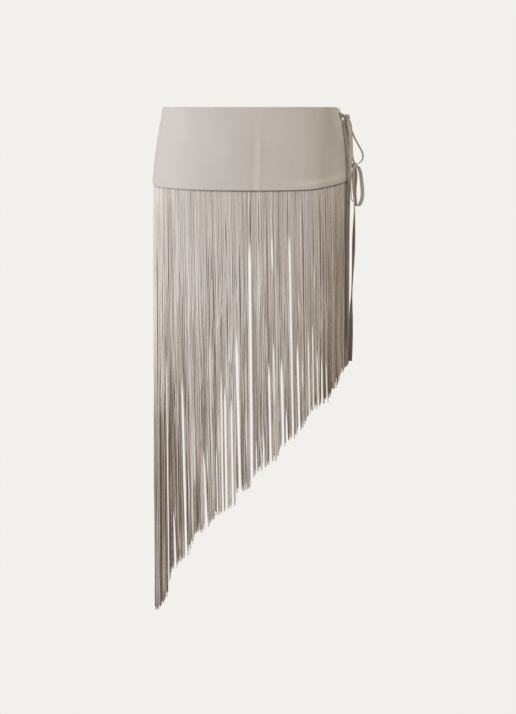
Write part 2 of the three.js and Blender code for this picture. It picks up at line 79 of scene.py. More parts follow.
# The ridge over the hem, where the tape lies behind it, and the girths where it stands out most
HEM_RIDGE_ABOVE = 0.0085
HEM_RIDGE_SPREAD = 0.0048
HEM_RIDGE_RISE = 0.00010
HEM_RIDGE_UNEVEN = 0.00008
HEM_WAVE_PACE = 61
HEM_WAVE_PHASE = 1.3
HEM_SWELL_PACE = 23
HEM_PEAK_REACH = 0.09
Peak = namedtuple("Peak", "girth rise")
HEM_PEAKS = (Peak(0.375, 0.00075), Peak(0.560, 0.00045))

# Where a painted highlight makes the band paler: over the hem between these girths, and along the free
# edges, most of all at their tops
HIGHLIGHT_FROM = 0.262
HIGHLIGHT_FULL = 0.355
HIGHLIGHT_BACK_FULL = 0.560
HIGHLIGHT_BACK_END = 0.650
HIGHLIGHT_ABOVE_HEM = 0.0115
HIGHLIGHT_SPREAD = 0.0052
HIGHLIGHT_EDGE_REACH = 0.025
HIGHLIGHT_SHARE = 0.5
HIGHLIGHT_TOP_START = -0.075
HIGHLIGHT_TOP_FULL = -0.020

# The fringe tape and its stitches
TAPE_THICKNESS = 0.0015
TAPE_CLEARANCE = 0.0006
TAPE_TOP_ABOVE_HEM = 0.011
TAPE_ROOT_ABOVE_HEM = 0.0015
TAPE_END_MARGIN = 0.001
TAPE_CORNER_MARGIN = 0.008
TAPE_STEPS = 240
TAPE_UNEVEN = 0.02
TAPE_UNEVEN_PACE = 900
STITCH_LENGTH = 0.0021
STITCH_PITCH = 0.0030
STITCH_RADIUS = 0.00022
STITCH_SIDES = 6
STITCH_TAPER = (0.4, 0.9, 1, 0.9, 0.4)
STITCH_ARCH = 0.00018
STITCH_END_MARGIN = 0.002
STITCH_ROWS_ABOVE_HEM = (0.0032, 0.0092)

# The cords, in two layers. The inner layer parts less at a gap.
Layer = namedtuple("Layer", "inset gap_share")
CORD_LAYERS = (Layer(0.0032, 1.0), Layer(0.0046, 0.6))
LAYER_SHIFT = 0.25
CORD_RADIUS = 0.00078
CORD_RADIUS_RANGE = (0.88, 1.08)
CORD_SIDES = 5
CORD_SEGMENTS = 30
CORD_PITCH = 0.00176
CORD_JITTER = 0.2
CORD_ROOT_ABOVE_HEM = 0.004
CORD_RELIEF_ABOVE_HEM = 0.003
CORD_ROOT_CAP = 0.0002
CORD_TIP_LENGTH = 0.0006
CORD_TIP_SHARE = 0.62
CORD_SEEDS = {"front": 16, "back": 15}

# How the cords differ: their ends, depth, slant and waves, and how many share a tone with the next
STRAY_SHARE = 0.08
STRAY_LIFT = (-0.005, 0.014)
CUT_UNEVEN = 0.0022
DEPTH_UNEVEN = 0.0005
DEPTH_FREE_LENGTH = 0.05
STEEP_SHARE = 0.1
STEEP_SLANT = 0.0060
USUAL_SLANT = 0.0018
Wave = namedtuple("Wave", "length size")
CORD_WAVES = (Wave(0.32, 0.0007), Wave(0.11, 0.00028))
WAVE_LENGTH_RANGE = (0.7, 1.3)
WAVE_FREE_LENGTH = 0.2
WAVE_DEPTH_SHARE = 0.6
WAVE_SIDE_SHARE = 0.3
PAIRED_SHARE = 0.7

# The ties
RIBBON_WIDTH = 0.0065
RIBBON_THICKNESS = 0.0012
RIBBON_SIDES = 16
RIBBON_STEP = 0.0016
RIBBON_LEAST_STEPS = 8
RIBBON_FACE_ROUNDNESS = 0.8
RIBBON_EDGE_ROUNDNESS = 0.55
SPLINE_STEPS = 24
Ripple = namedtuple("Ripple", "share pace phases")
RIBBON_RIPPLES = (Ripple(0.018, 210, 1), Ripple(0.012, 470, 2))
BUNCHED_SHARE = 0.5
BUNCHED_THICKENING = 0.5
BUNCH_LENGTH = 0.012
STUB_INSET = 0.0036
STUB_REACH = 0.012
STUB_PAST_EDGE = 0.001
STUB_SWING = 0.005

# The camera stands level in front of the belt. A pixel is this wide in the plane y = 0.
PIXEL = 0.00173
PICTURE_WIDTH = 516
PICTURE_HEIGHT = 714
CAMERA_PLACE = Vector((0.01125, -5.0, -0.4325))
CAMERA_FAR = 60
SENSOR_SIZE = 36


def add_camera():
    camera = bpy.data.cameras.new("camera")
    camera.sensor_width = SENSOR_SIZE
    camera.lens = SENSOR_SIZE * -CAMERA_PLACE.y / (PICTURE_HEIGHT * PIXEL)
    camera.clip_end = CAMERA_FAR
    seat = set_down("camera", camera, CAMERA_PLACE)
    seat.rotation_euler = (math.pi / 2, 0, 0)
    bpy.context.scene.camera = seat


def seen_at(x, y, z):
    """Where the camera sees a point, in pixels of the picture."""
    near = -CAMERA_PLACE.y / (y - CAMERA_PLACE.y) / PIXEL
    across = PICTURE_WIDTH / 2 + (x - CAMERA_PLACE.x) * near
    down = PICTURE_HEIGHT / 2 - (z - CAMERA_PLACE.z) * near
    return across, down


def smoothstep(low, high, value):
    share = np.clip((value - low) / (high - low), 0, 1)
    return share * share * (3 - 2 * share)


def signed_power(value, power):
    return np.sign(value) * np.abs(value) ** power


def set_down(name, data, place=(0, 0, 0)):
    """Adds an object to the scene."""
    thing = bpy.data.objects.new(name, data)
    thing.location = place
    bpy.context.scene.collection.objects.link(thing)
    return thing


# Meshes

def add_piece(name, points, faces, material, cad_node, uv=None, values=None):
    """A smooth mesh object on the one body, in place of its CAD node."""
    mesh = bpy.data.meshes.new(name)
    mesh.from_pydata(np.asarray(points).tolist(), [], faces)
    if uv is not None:
        layer = mesh.uv_layers.new(name="along")
        layer.data.foreach_set("uv", np.asarray(uv, np.float32).ravel())
    for key, numbers in (values or {}).items():
        attribute = mesh.attributes.new(key, "FLOAT", "POINT")
        attribute.data.foreach_set("value", np.asarray(numbers, np.float32).ravel())
    mesh.materials.append(material)
    mesh.polygons.foreach_set("use_smooth", [True] * len(mesh.polygons))
    mesh.validate()
    piece = set_down(name, mesh)
    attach(piece, "root")
    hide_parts(cad_node)
    return piece


# The figure

def make_plan():
    """The figure's outline from above, from the right side round the front: its unit shape, its places
    at the hip and the girth up to each."""
    angle = np.pi + 2 * np.pi * np.arange(PLAN_STEPS + 1) / PLAN_STEPS
    across = signed_power(np.cos(angle), 2 / PLAN_SQUARENESS)
    deep = signed_power(np.sin(angle), 2 / PLAN_SQUARENESS)
    x = across * HIP.half_width
    y = deep * np.where(deep < 0, HIP.front_depth, HIP.back_depth)
    girth = np.concatenate([[0], np.cumsum(np.hypot(np.diff(x), np.diff(y)))])
    return across, deep, x, y, girth


plan_across, plan_deep, plan_x, plan_y, plan_girth = make_plan()
hip_girth = plan_girth[-1]
front_middle_girth = plan_girth[PLAN_STEPS // 4]
left_side_girth = plan_girth[PLAN_STEPS // 2]
back_middle_girth = plan_girth[PLAN_STEPS * 3 // 4]


def girth_where_deep(depth, start, end):
    """The first girth length, between two others, where the plan comes to a depth."""
    inside = (plan_girth >= start) & (plan_girth <= end) & (plan_y >= depth)
    return plan_girth[np.argmax(inside)]


front_edge_girth = girth_where_deep(OPENING_FRONT_Y, front_middle_girth, left_side_girth)
back_edge_girth = girth_where_deep(OPENING_BACK_Y, left_side_girth, hip_girth)


def size_at(height):
    """The figure's half width and depths at a height: it swells from the waist to the hip."""
    share = np.sin(np.clip(-height / HIP_DROP, 0, 1) * np.pi / 2)
    return Size(*(at_waist + (at_hip - at_waist) * share for at_waist, at_hip in zip(WAIST, HIP)))


def outward(girth, height):
    """The place on the figure and its horizontal outward direction."""
    wrapped = np.mod(girth, hip_girth)
    across = np.interp(wrapped, plan_girth, plan_across)
    deep = np.interp(wrapped, plan_girth, plan_deep)
    size = size_at(height)
    depth = np.where(deep < 0, size.front_depth, size.back_depth)
    turn_x = signed_power(across, PLAN_SQUARENESS - 1) / size.half_width
    turn_y = signed_power(deep, PLAN_SQUARENESS - 1) / depth
    length = np.hypot(turn_x, turn_y)
    return across * size.half_width, deep * depth, turn_x / length, turn_y / length


def on_figure(girth, height, inset):
    """The place at a girth and a height, this far inside the figure."""
    x, y, turn_x, turn_y = outward(girth, height)
    height = np.broadcast_to(height, np.shape(x))
    return np.stack([x - turn_x * inset, y - turn_y * inset, height], -1)


def waist_height(girth):
    """Height of the band's top edge, which falls to the front and rises to the back."""
    y = on_figure(girth, np.zeros_like(girth), 0)[..., 1]
    return y * np.where(y < 0, WAIST_FRONT_TILT, WAIST_BACK_TILT)


def hem_height(girth):
    """Height of the band's hem, which dips in front and behind and rises beside the opening."""
    deep = np.interp(np.mod(girth, hip_girth), plan_girth, plan_deep)
    dip = np.where(deep < 0, -deep * HEM_FRONT_DIP, deep * HEM_BACK_DIP)
    from_opening = np.maximum(np.maximum(front_edge_girth - girth, girth - back_edge_girth), 0)
    return -HEM_SIDE_DROP - dip + OPENING_HEM_LIFT * smoothstep(OPENING_LIFT_REACH, 0, from_opening)


# The band's depth at its free edge
opening_depth = float(waist_height(front_edge_girth) - hem_height(front_edge_girth))


def front_edge_at(height):
    """The front panel's free edge slants: it stands back at the waist."""
    above = (height - float(hem_height(front_edge_girth))) / opening_depth
    return front_edge_girth - OPENING_WAIST_SETBACK * above


# Creases in the band: place along the girth from the panel's middle, at the waist and at the hem, half
# width and height of the ridge (a trough is below 0), and the shares of the band's depth where it
# starts and ends
Crease = namedtuple("Crease", "at_waist at_hem half_width rise start end")
FRONT_CREASES = rows(
    Crease,
    (0.0080, 0.0030, 0.0056, -0.00080, 0.05, 1.3), (0.0170, 0.0140, 0.0056, 0.00105, 0.20, 1.3),
    (-0.0640, -0.0730, 0.0150, -0.00028, 0.2, 1.3), (-0.1220, -0.1120, 0.0180, 0.00035, -0.3, 0.8),
    (0.0560, 0.0480, 0.0130, -0.00030, 0.3, 1.3), (0.0980, 0.0960, 0.0120, 0.00055, -0.3, 1.3),
    (0.1330, 0.1300, 0.0130, -0.00180, -0.3, 1.2), (0.1760, 0.1800, 0.0100, -0.00030, 0.1, 1.2),
)
BACK_CREASES = rows(
    Crease,
    (0.0040, 0.0010, 0.0060, -0.00060, -0.1, 1.2), (0.0120, 0.0100, 0.0055, 0.00050, 0.1, 1.2),
    (-0.0780, -0.0860, 0.0160, 0.00045, 0.3, 1.2), (-0.1330, -0.1230, 0.0130, -0.00070, -0.1, 0.9),
    (0.0720, 0.0840, 0.0170, -0.00040, 0.2, 1.3), (0.1420, 0.1320, 0.0140, 0.00050, -0.3, 0.8),
    (0.1800, 0.1720, 0.0110, -0.00035, 0.4, 1.3),
)
PANEL_CREASES = ((front_middle_girth, FRONT_CREASES), (back_middle_girth, BACK_CREASES))


def relief(girth, height):
    """How far the cloth stands out from the figure, for its creases and the tape behind the hem."""
    top, foot = waist_height(girth), hem_height(girth)
    down = (top - height) / (top - foot)
    out = np.zeros(np.shape(down))
    for panel_middle, creases in PANEL_CREASES:
        for crease in creases:
            place = panel_middle + crease.at_waist + (crease.at_hem - crease.at_waist) * down
            reach = smoothstep(crease.start, crease.start + CREASE_FADE, down)
            reach = reach * (1 - smoothstep(crease.end - CREASE_FADE, crease.end, down))
            out = out + crease.rise * reach * np.exp(-(((girth - place) / crease.half_width) ** 2))
    wave = np.sin(girth * HEM_WAVE_PACE + HEM_WAVE_PHASE) * np.sin(girth * HEM_SWELL_PACE)
    rise = HEM_RIDGE_RISE + HEM_RIDGE_UNEVEN * (0.5 + 0.5 * wave)
    for peak in HEM_PEAKS:
        rise = rise + peak.rise * smoothstep(HEM_PEAK_REACH, 0, np.abs(girth - peak.girth))
    above_hem = height - foot
    return out + rise * np.exp(-(((above_hem - HEM_RIDGE_ABOVE) / HEM_RIDGE_SPREAD) ** 2))


def pressed(girth, height, edge_distance):
    """How strong the painted highlight is: over the hem near the ties, and along the free edge."""
    above_hem = height - hem_height(girth)
    near_ties = smoothstep(HIGHLIGHT_FROM, HIGHLIGHT_FULL, girth)
    near_ties = near_ties * smoothstep(HIGHLIGHT_BACK_END, HIGHLIGHT_BACK_FULL, girth)
    hem = HIGHLIGHT_SHARE * near_ties * np.exp(-(((above_hem - HIGHLIGHT_ABOVE_HEM) / HIGHLIGHT_SPREAD) ** 2))
    top = smoothstep(HIGHLIGHT_TOP_START, HIGHLIGHT_TOP_FULL, height)
    edge = np.exp(-((edge_distance / HIGHLIGHT_EDGE_REACH) ** 2))
    return np.maximum(hem, edge * (HIGHLIGHT_SHARE + (1 - HIGHLIGHT_SHARE) * top))


# The band

def rounded_inset(distance):
    """How far a face falls back towards the cloth's middle near its folded edge."""
    past = np.clip(1 - distance / RIM_REACH, 0, 1)
    return CLOTH_THICKNESS / 2 * (1 - np.sqrt(1 - past * past))


def band_levels():
    """For each row of the grid: how far down the band it lies, its step from the nearer edge, and its
    distance from it, which inside the rims is left open."""
    levels = [(0.0, -step, step) for step in RIM_STEPS]
    for row in range(1, BAND_ROWS):
        share = row / BAND_ROWS
        levels.append((share, RIM_STEPS[-1] * (2 * share - 1), None))
    return levels + [(1.0, step, step) for step in reversed(RIM_STEPS)]


def band_grid(start, end, opening_at_end, inner):
    """A face of a panel: its places, and how strong the painted highlight is there."""
    places, pale = [], []
    rim = np.array(RIM_STEPS)
    ends = np.array([start, end])
    depth = np.min(waist_height(ends) - hem_height(ends))
    for down, offset, step in band_levels():
        edge_distance = step if step is not None else min(down, 1 - down) * depth + rim[-1]
        radius = OPENING_CORNER_RADIUS if opening_at_end or down > 0.5 else BACK_WAIST_CORNER_RADIUS
        short = max(0, radius - edge_distance)
        cut = radius - math.sqrt(radius**2 - short**2)
        setback = OPENING_WAIST_SETBACK * (1 - down + offset / opening_depth)
        first = start if opening_at_end else start + cut
        last = end - cut - setback if opening_at_end else end
        middle = np.linspace(first + rim[-1], last - rim[-1], BAND_COLUMNS + 1)[1:-1]
        girth = np.concatenate([first + rim, middle, last - rim[::-1]])
        free_distance = last - girth if opening_at_end else girth - first
        side_distance = np.minimum(girth - first, last - girth)
        inset = rounded_inset(np.minimum(side_distance, edge_distance))
        if inner:
            inset = CLOTH_THICKNESS - inset
        height = waist_height(girth) * (1 - down) + hem_height(girth) * down + offset
        places.append(on_figure(girth, height, inset - relief(girth, height)))
        pale.append(pressed(girth, height, free_distance))
    return np.array(places), np.array(pale)


def grid_faces(levels, columns, first, flip):
    faces = []
    for row in range(levels - 1):
        for column in range(columns - 1):
            a = first + row * columns + column
            face = [a, a + columns, a + columns + 1, a + 1]
            faces.append(face[::-1] if flip else face)
    return faces


def add_band(name, start, end, opening_at_end, material, cad_node):
    outer, outer_highlight = band_grid(start, end, opening_at_end, False)
    inner, inner_highlight = band_grid(start, end, opening_at_end, True)
    levels, columns = outer.shape[:2]
    points = np.concatenate([outer.reshape(-1, 3), inner.reshape(-1, 3)])
    faces = grid_faces(levels, columns, 0, False) + grid_faces(levels, columns, levels * columns, True)
    # The painted highlight's strength, carried by the mesh's points
    pale = {"pressed": np.concatenate([outer_highlight.ravel(), inner_highlight.ravel()])}
    piece = add_piece(name, points, faces, material, cad_node, values=pale)
    shape = bmesh.new()
    shape.from_mesh(piece.data)
    bmesh.ops.remove_doubles(shape, verts=shape.verts, dist=1e-6)
    bmesh.ops.recalc_face_normals(shape, faces=shape.faces)
    shape.to_mesh(piece.data)
    shape.free()
    return piece


# Ribbons: the stops of each route, and how far the ribbon's width is turned there, in degrees

Stop = namedtuple("Stop", "x y z turn")



def turned_alike(turn, *places):
    """A loop's stops, where the ribbon is turned alike all the way."""
    return rows(Stop, *((*place, turn) for place in places))


UPPER_BACK_LOOP = turned_alike(
    -69,
    (0.167, -0.012, -0.02), (0.1706, -0.009, -0.0336), (0.1753, -0.006, -0.0472),
    (0.181, -0.004, -0.0591), (0.1869, -0.003, -0.0694), (0.1913, -0.002, -0.078),
    (0.1928, -0.0015, -0.086), (0.1908, -0.0015, -0.0928), (0.1865, -0.002, -0.097),
    (0.1815, -0.0025, -0.0982), (0.1772, -0.0035, -0.0954), (0.175, -0.0045, -0.088),
    (0.1738, -0.007, -0.072), (0.1705, -0.01, -0.046), (0.166, -0.012, -0.022),
)
UPPER_FRONT_LOOP = turned_alike(
    0,
    (0.1616, -0.0172, -0.0195), (0.1588, -0.0222, -0.0305), (0.1610, -0.028, -0.048),
    (0.164, -0.031, -0.066), (0.1658, -0.032, -0.080), (0.1676, -0.032, -0.0905),
    (0.1688, -0.0305, -0.097), (0.169, -0.027, -0.099), (0.168, -0.0235, -0.088),
    (0.1658, -0.020, -0.0586), (0.1644, -0.0175, -0.0378), (0.1642, -0.0145, -0.021),
)
UPPER_FRONT_TAIL = rows(
    Stop,
    (0.1655, -0.018, -0.02, 10), (0.1674, -0.025, -0.028, 10), (0.1688, -0.03, -0.037, 8),
    (0.1702, -0.034, -0.048, 6), (0.1708, -0.037, -0.062, 5), (0.1712, -0.039, -0.078, 8),
    (0.171, -0.04, -0.089, 16), (0.17, -0.041, -0.099, 38), (0.1698, -0.042, -0.114, 50),
    (0.169, -0.043, -0.132, 50), (0.1673, -0.044, -0.154, 44), (0.1666, -0.045, -0.18, 44),
    (0.166, -0.046, -0.214, 46), (0.1658, -0.046, -0.249, 48), (0.1656, -0.046, -0.292, 50),
    (0.1655, -0.046, -0.335, 55), (0.1654, -0.046, -0.378, 60), (0.1653, -0.046, -0.419, 62),
)
UPPER_BACK_TAIL = rows(
    Stop,
    (0.1665, -0.014, -0.02, 10), (0.169, -0.018, -0.029, 10), (0.1702, -0.022, -0.038, 8),
    (0.1709, -0.027, -0.05, 6), (0.171, -0.032, -0.063, 5), (0.1712, -0.0352, -0.078, 8),
    (0.171, -0.036, -0.089, 16), (0.17, -0.037, -0.099, 38), (0.1696, -0.038, -0.114, 50),
    (0.1688, -0.039, -0.132, 50), (0.1671, -0.04, -0.154, 44), (0.1664, -0.041, -0.18, 44),
    (0.1658, -0.0415, -0.214, 46), (0.1656, -0.0415, -0.258, 48), (0.1654, -0.0415, -0.309, 52),
    (0.1652, -0.0415, -0.355, 57), (0.1651, -0.0415, -0.4, 60),
)
LOWER_BACK_LOOP = rows(
    Stop,
    (0.1785, -0.011, -0.101, -42), (0.184, -0.004, -0.1035, -36), (0.1882, 0.003, -0.112, -24),
    (0.1911, 0.009, -0.1306, -14), (0.1924, 0.012, -0.1495, -10), (0.1908, 0.012, -0.161, -12),
    (0.1865, 0.009, -0.1695, -20), (0.1818, 0.006, -0.17, -30), (0.1794, 0.004, -0.158, -38),
    (0.1794, 0.0035, -0.14, -42), (0.1808, 0.0005, -0.121, -42), (0.18, -0.009, -0.104, -42),
)
LOWER_FRONT_LOOP = turned_alike(
    85,
    (0.1765, -0.017, -0.104), (0.1732, -0.0205, -0.1155), (0.1716, -0.0215, -0.131),
    (0.1716, -0.0215, -0.148), (0.1725, -0.0215, -0.1603), (0.1744, -0.0215, -0.1644),
    (0.1763, -0.0215, -0.1603), (0.1767, -0.0215, -0.1448), (0.1766, -0.021, -0.1241),
    (0.1772, -0.017, -0.104),
)
LOWER_FRONT_TAIL = rows(
    Stop,
    (0.176, -0.0152, -0.103, 60), (0.1752, -0.013, -0.114, 62), (0.175, -0.013, -0.127, 62),
    (0.1757, -0.013, -0.1444, 65), (0.1772, -0.013, -0.1616, 70), (0.1777, -0.013, -0.1806, 72),
    (0.1771, -0.013, -0.2048, 50), (0.1764, -0.013, -0.2306, 32), (0.1758, -0.013, -0.2565, 40),
    (0.1748, -0.013, -0.2824, 60), (0.1736, -0.013, -0.3083, 74), (0.1728, -0.013, -0.329, 70),
    (0.172, -0.013, -0.3462, 40), (0.1719, -0.013, -0.3687, 15), (0.1717, -0.013, -0.4032, 6),
    (0.1704, -0.013, -0.4394, 3),
)
LOWER_BACK_TAIL = rows(
    Stop,
    (0.1776, -0.0098, -0.103, 75), (0.1774, -0.0055, -0.114, 76), (0.1766, -0.0045, -0.127, 78),
    (0.1768, -0.0045, -0.144, 78), (0.1775, -0.0045, -0.161, 78), (0.1778, -0.0045, -0.180, 78),
    (0.1771, -0.0045, -0.210, 78), (0.1765, -0.0045, -0.239, 78), (0.1754, -0.0045, -0.268, 78),
    (0.1739, -0.0045, -0.303, 78), (0.1728, -0.0045, -0.334, 78), (0.1722, -0.0045, -0.369, 78),
    (0.1719, -0.0045, -0.396, 78), (0.1714, -0.0045, -0.424, 78),
)

# A knot: its place, the height at which its ribbons are sewn in, and its lean in degrees
Knot = namedtuple("Knot", "name x y z sewn_at lean")
UPPER_KNOT = Knot("upper", 0.1648, -0.014, -0.0188, -0.015, 35)
LOWER_KNOT = Knot("lower", 0.1772, -0.014, -0.102, -0.098, -30)
KNOT_HALF_SIZE = (0.0037, 0.0042, 0.0053)
KNOT_RINGS = 20
KNOT_SIDES = 40
KNOT_FOLDS = 7
KNOT_FOLD_DEPTH = 0.07
KNOT_FOLD_TWIST = 2

# The turns of ribbon round a knot: how they lean from the knot's own lean, and how far they stand off it
Turn = namedtuple("Turn", "lean half_width lift out")
KNOT_TURNS = (Turn(0, 0.0023, 0.0, 0.0010), Turn(-22, 0.0018, 0.0014, 0.0001))
TURN_STEPS = 48
TURN_BEND = 0.0005
TURN_UNEVEN = 0.12
TURN_HALF_THICKNESS = 0.00065

# Each ribbon of a bow ripples in its own way
BOW_PHASES = {"loop_back": 4, "loop_front": 5, "end_front": 1, "end_back": -1}


def smooth_line(places, widths, step):
    """Even steps along a centripetal spline through the places: a line and its width directions."""
    places = np.asarray(places, float)
    widths = np.asarray(widths, float)
    padded = np.vstack([2 * places[0] - places[1], places, 2 * places[-1] - places[-2]])
    line, across = [], []
    share = np.linspace(0, 1, SPLINE_STEPS + 1)[:-1, None]
    for i in range(len(places) - 1):
        p0, p1, p2, p3 = padded[i : i + 4]
        d0, d1, d2 = (math.sqrt(np.linalg.norm(b - a)) for a, b in ((p0, p1), (p1, p2), (p2, p3)))
        out = ((p1 - p0) / d0 - (p2 - p0) / (d0 + d1) + (p2 - p1) / d1) * d1
        into = ((p2 - p1) / d1 - (p3 - p1) / (d1 + d2) + (p3 - p2) / d2) * d1
        c2 = -3 * p1 + 3 * p2 - 2 * out - into
        c3 = 2 * p1 - 2 * p2 + out + into
        line.append(p1 + out * share + c2 * share**2 + c3 * share**3)
        across.append(widths[i] * (1 - share) + widths[i + 1] * share)
    line = np.vstack(line + [places[-1:]])
    across = np.vstack(across + [widths[-1:]])
    run = np.concatenate([[0], np.cumsum(np.linalg.norm(np.diff(line, axis=0), axis=1))])
    even = np.linspace(0, run[-1], max(RIBBON_LEAST_STEPS, round(run[-1] / step)) + 1)
    line = np.stack([np.interp(even, run, line[:, k]) for k in range(3)], -1)
    across = np.stack([np.interp(even, run, across[:, k]) for k in range(3)], -1)
    return line, across, even


def ring_faces(rings, sides, closed):
    """The faces of a tube of rings, with ends unless it is closed on itself, and their uv."""
    faces, uv = [], []
    for ring in range(rings if closed else rings - 1):
        for side in range(sides):
            a = ring * sides + side
            b = ring * sides + (side + 1) % sides
            after = ((ring + 1) % rings) * sides
            faces.append([a, b, after + (side + 1) % sides, after + side])
            uv += [(side / sides, ring), ((side + 1) / sides, ring)]
            uv += [((side + 1) / sides, ring + 1), (side / sides, ring + 1)]
    if not closed:
        for first, order in ((0, -1), ((rings - 1) * sides, 1)):
            faces.append([first + side for side in range(sides)][::order])
            uv += [(side / sides, first / sides) for side in range(sides)][::order]
    return faces, uv


def sweep(line, across, half_width, half_thickness, closed=False):
    """A soft-edged flat section carried along a line."""
    if closed:
        along = np.roll(line, -1, axis=0) - np.roll(line, 1, axis=0)
    else:
        along = np.gradient(line, axis=0)
    along /= np.linalg.norm(along, axis=1, keepdims=True)
    wide = across - along * np.sum(across * along, axis=1, keepdims=True)
    wide /= np.linalg.norm(wide, axis=1, keepdims=True)
    face = np.cross(along, wide)
    angle = 2 * np.pi * (np.arange(RIBBON_SIDES) + 0.5) / RIBBON_SIDES
    section_wide = signed_power(np.cos(angle), RIBBON_EDGE_ROUNDNESS)
    section_thick = signed_power(np.sin(angle), RIBBON_FACE_ROUNDNESS)
    rings = line[:, None] + (
        wide[:, None] * (np.asarray(half_width)[:, None] * section_wide)[..., None]
        + face[:, None] * (np.asarray(half_thickness)[:, None] * section_thick)[..., None]
    )
    faces, uv = ring_faces(len(line), RIBBON_SIDES, closed)
    return rings.reshape(-1, 3), faces, uv


def route(way):
    """The places of a ribbon's stops, and the level direction of its width at each."""
    turns = [math.radians(stop.turn) for stop in way]
    places = [(stop.x, stop.y, stop.z) for stop in way]
    return places, [(math.cos(turn), math.sin(turn), 0) for turn in turns]


def add_ribbon(name, places, widths, bunched, phase, material, cad_node):
    """A ribbon along its places, gathered at its start, its end or both, as bunched says."""
    line, across, run = smooth_line(places, widths, RIBBON_STEP)
    open_share = np.ones(len(run))
    if bunched[0]:
        open_share = np.minimum(open_share, run / BUNCH_LENGTH)
    if bunched[1]:
        open_share = np.minimum(open_share, (run[-1] - run) / BUNCH_LENGTH)
    width = (BUNCHED_SHARE + (1 - BUNCHED_SHARE) * smoothstep(0, 1, open_share)) * RIBBON_WIDTH
    ripples = [row.share * np.sin(run * row.pace + row.phases * phase) for row in RIBBON_RIPPLES]
    width = width * (1 + sum(ripples))
    thickness = RIBBON_THICKNESS * (1 + BUNCHED_THICKENING * (1 - open_share))
    points, faces, uv = sweep(line, across, width / 2, thickness / 2)
    return add_piece(name, points, faces, material, cad_node, uv=uv), line


def add_tail(name, way, phase, material, cad_node):
    piece, line = add_ribbon(name, *route(way), (True, False), phase, material, cad_node)


def stub_places(edge_girth, towards_opening, knot):
    """The way of a sewn end, from inside the band's free edge to the knot."""
    spots = (
        (edge_girth - towards_opening * STUB_REACH, STUB_INSET),
        (edge_girth + towards_opening * STUB_PAST_EDGE, STUB_INSET),
        (edge_girth + towards_opening * STUB_SWING, STUB_INSET / 2),
    )
    places = [on_figure(np.array(girth), knot.sewn_at, inset).tolist() for girth, inset in spots]
    return places + [[knot.x, knot.y, knot.z]]


def add_bow(knot, loops, material):
    cad_node = f"tie_{knot.name}_bow"
    both, at_knot = (True, True), (False, True)
    for side, way in loops.items():
        part = f"loop_{side}"
        phase = knot.lean + BOW_PHASES[part]
        add_ribbon(f"bow_{knot.name}_{part}", *route(way), both, phase, material, cad_node)
    edges = {"front": (front_edge_at(knot.sewn_at), 1), "back": (back_edge_girth, -1)}
    for side, (edge_girth, towards_opening) in edges.items():
        part = f"end_{side}"
        phase = knot.lean + BOW_PHASES[part]
        places = stub_places(edge_girth, towards_opening, knot)
        upright = [(0, 0, 1)] * len(places)
        add_ribbon(f"bow_{knot.name}_{part}", places, upright, at_knot, phase, material, cad_node)
    add_knot_core(knot, material, cad_node)
    for number, turn in enumerate(KNOT_TURNS):
        add_knot_turn(knot, turn, number, material, cad_node)


def add_knot_core(knot, material, cad_node):
    """The gathered ribbon inside the knot."""
    middle = np.array([knot.x, knot.y, knot.z])
    points, faces, uv = [], [], []
    for ring in range(KNOT_RINGS + 1):
        tilt = np.pi * ring / KNOT_RINGS
        for side in range(KNOT_SIDES):
            angle = 2 * np.pi * side / KNOT_SIDES
            fold = math.sin(KNOT_FOLDS * angle + KNOT_FOLD_TWIST * math.cos(tilt)) * math.sin(tilt)
            level = np.array([math.cos(angle), math.sin(angle), 0]) * math.sin(tilt)
            way = level + np.array([0, 0, math.cos(tilt)])
            points.append(middle + way * KNOT_HALF_SIZE * (1 + KNOT_FOLD_DEPTH * fold))
    for ring in range(KNOT_RINGS):
        for side in range(KNOT_SIDES):
            after = (side + 1) % KNOT_SIDES
            a, b = ring * KNOT_SIDES + side, ring * KNOT_SIDES + after
            faces.append([a, a + KNOT_SIDES, b + KNOT_SIDES, b])
            left, right = side / KNOT_SIDES, (side + 1) / KNOT_SIDES
            uv += [(left, ring), (left, ring + 1), (right, ring + 1), (right, ring)]
    add_piece(f"knot_{knot.name}_core", points, faces, material, cad_node, uv=uv)


def add_knot_turn(knot, turn, number, material, cad_node):
    """One slantwise turn of the ribbon round the knot."""
    tilt = math.radians(knot.lean + turn.lean)
    axis = np.array([math.sin(tilt), 0, math.cos(tilt)])
    flat = np.array([math.cos(tilt), 0, -math.sin(tilt)])
    angle = np.linspace(0, 2 * np.pi, TURN_STEPS, endpoint=False)[:, None]
    line = (
        np.array([knot.x, knot.y, knot.z])
        + axis * turn.lift
        + flat * np.cos(angle) * (KNOT_HALF_SIZE[0] + turn.out)
        + np.array([0, 1, 0]) * np.sin(angle) * (KNOT_HALF_SIZE[1] + turn.out)
        + axis * TURN_BEND * np.sin(angle * 2 + number)
    )
    across = np.tile(axis, (len(line), 1))
    half_width = turn.half_width * (1 + TURN_UNEVEN * np.sin(angle[:, 0] * 2 + knot.lean))
    half_thickness = np.full(len(line), TURN_HALF_THICKNESS)
    points, faces, uv = sweep(line, across, half_width, half_thickness, closed=True)
    name = f"knot_{knot.name}_turn_{number + 1}"
    add_piece(name, points, faces, material, cad_node, uv=uv)


# The fringe

# The line that the fringe is cut on, from the wearer's right side to the left
Cut = namedtuple("Cut", "x height")
CUT_LINE = rows(
    Cut,
    (-0.172, -0.866), (-0.158, -0.861), (-0.149, -0.847), (-0.144, -0.817),
    (-0.137, -0.796), (-0.115, -0.773), (-0.102, -0.753), (-0.097, -0.732),
    (-0.080, -0.724), (-0.056, -0.697), (-0.028, -0.681), (-0.023, -0.656),
    (-0.004, -0.656), (0.006, -0.631), (0.029, -0.613), (0.045, -0.602),
    (0.050, -0.582), (0.086, -0.553), (0.101, -0.521), (0.131, -0.503),
    (0.146, -0.476), (0.155, -0.455), (0.172, -0.437),
)

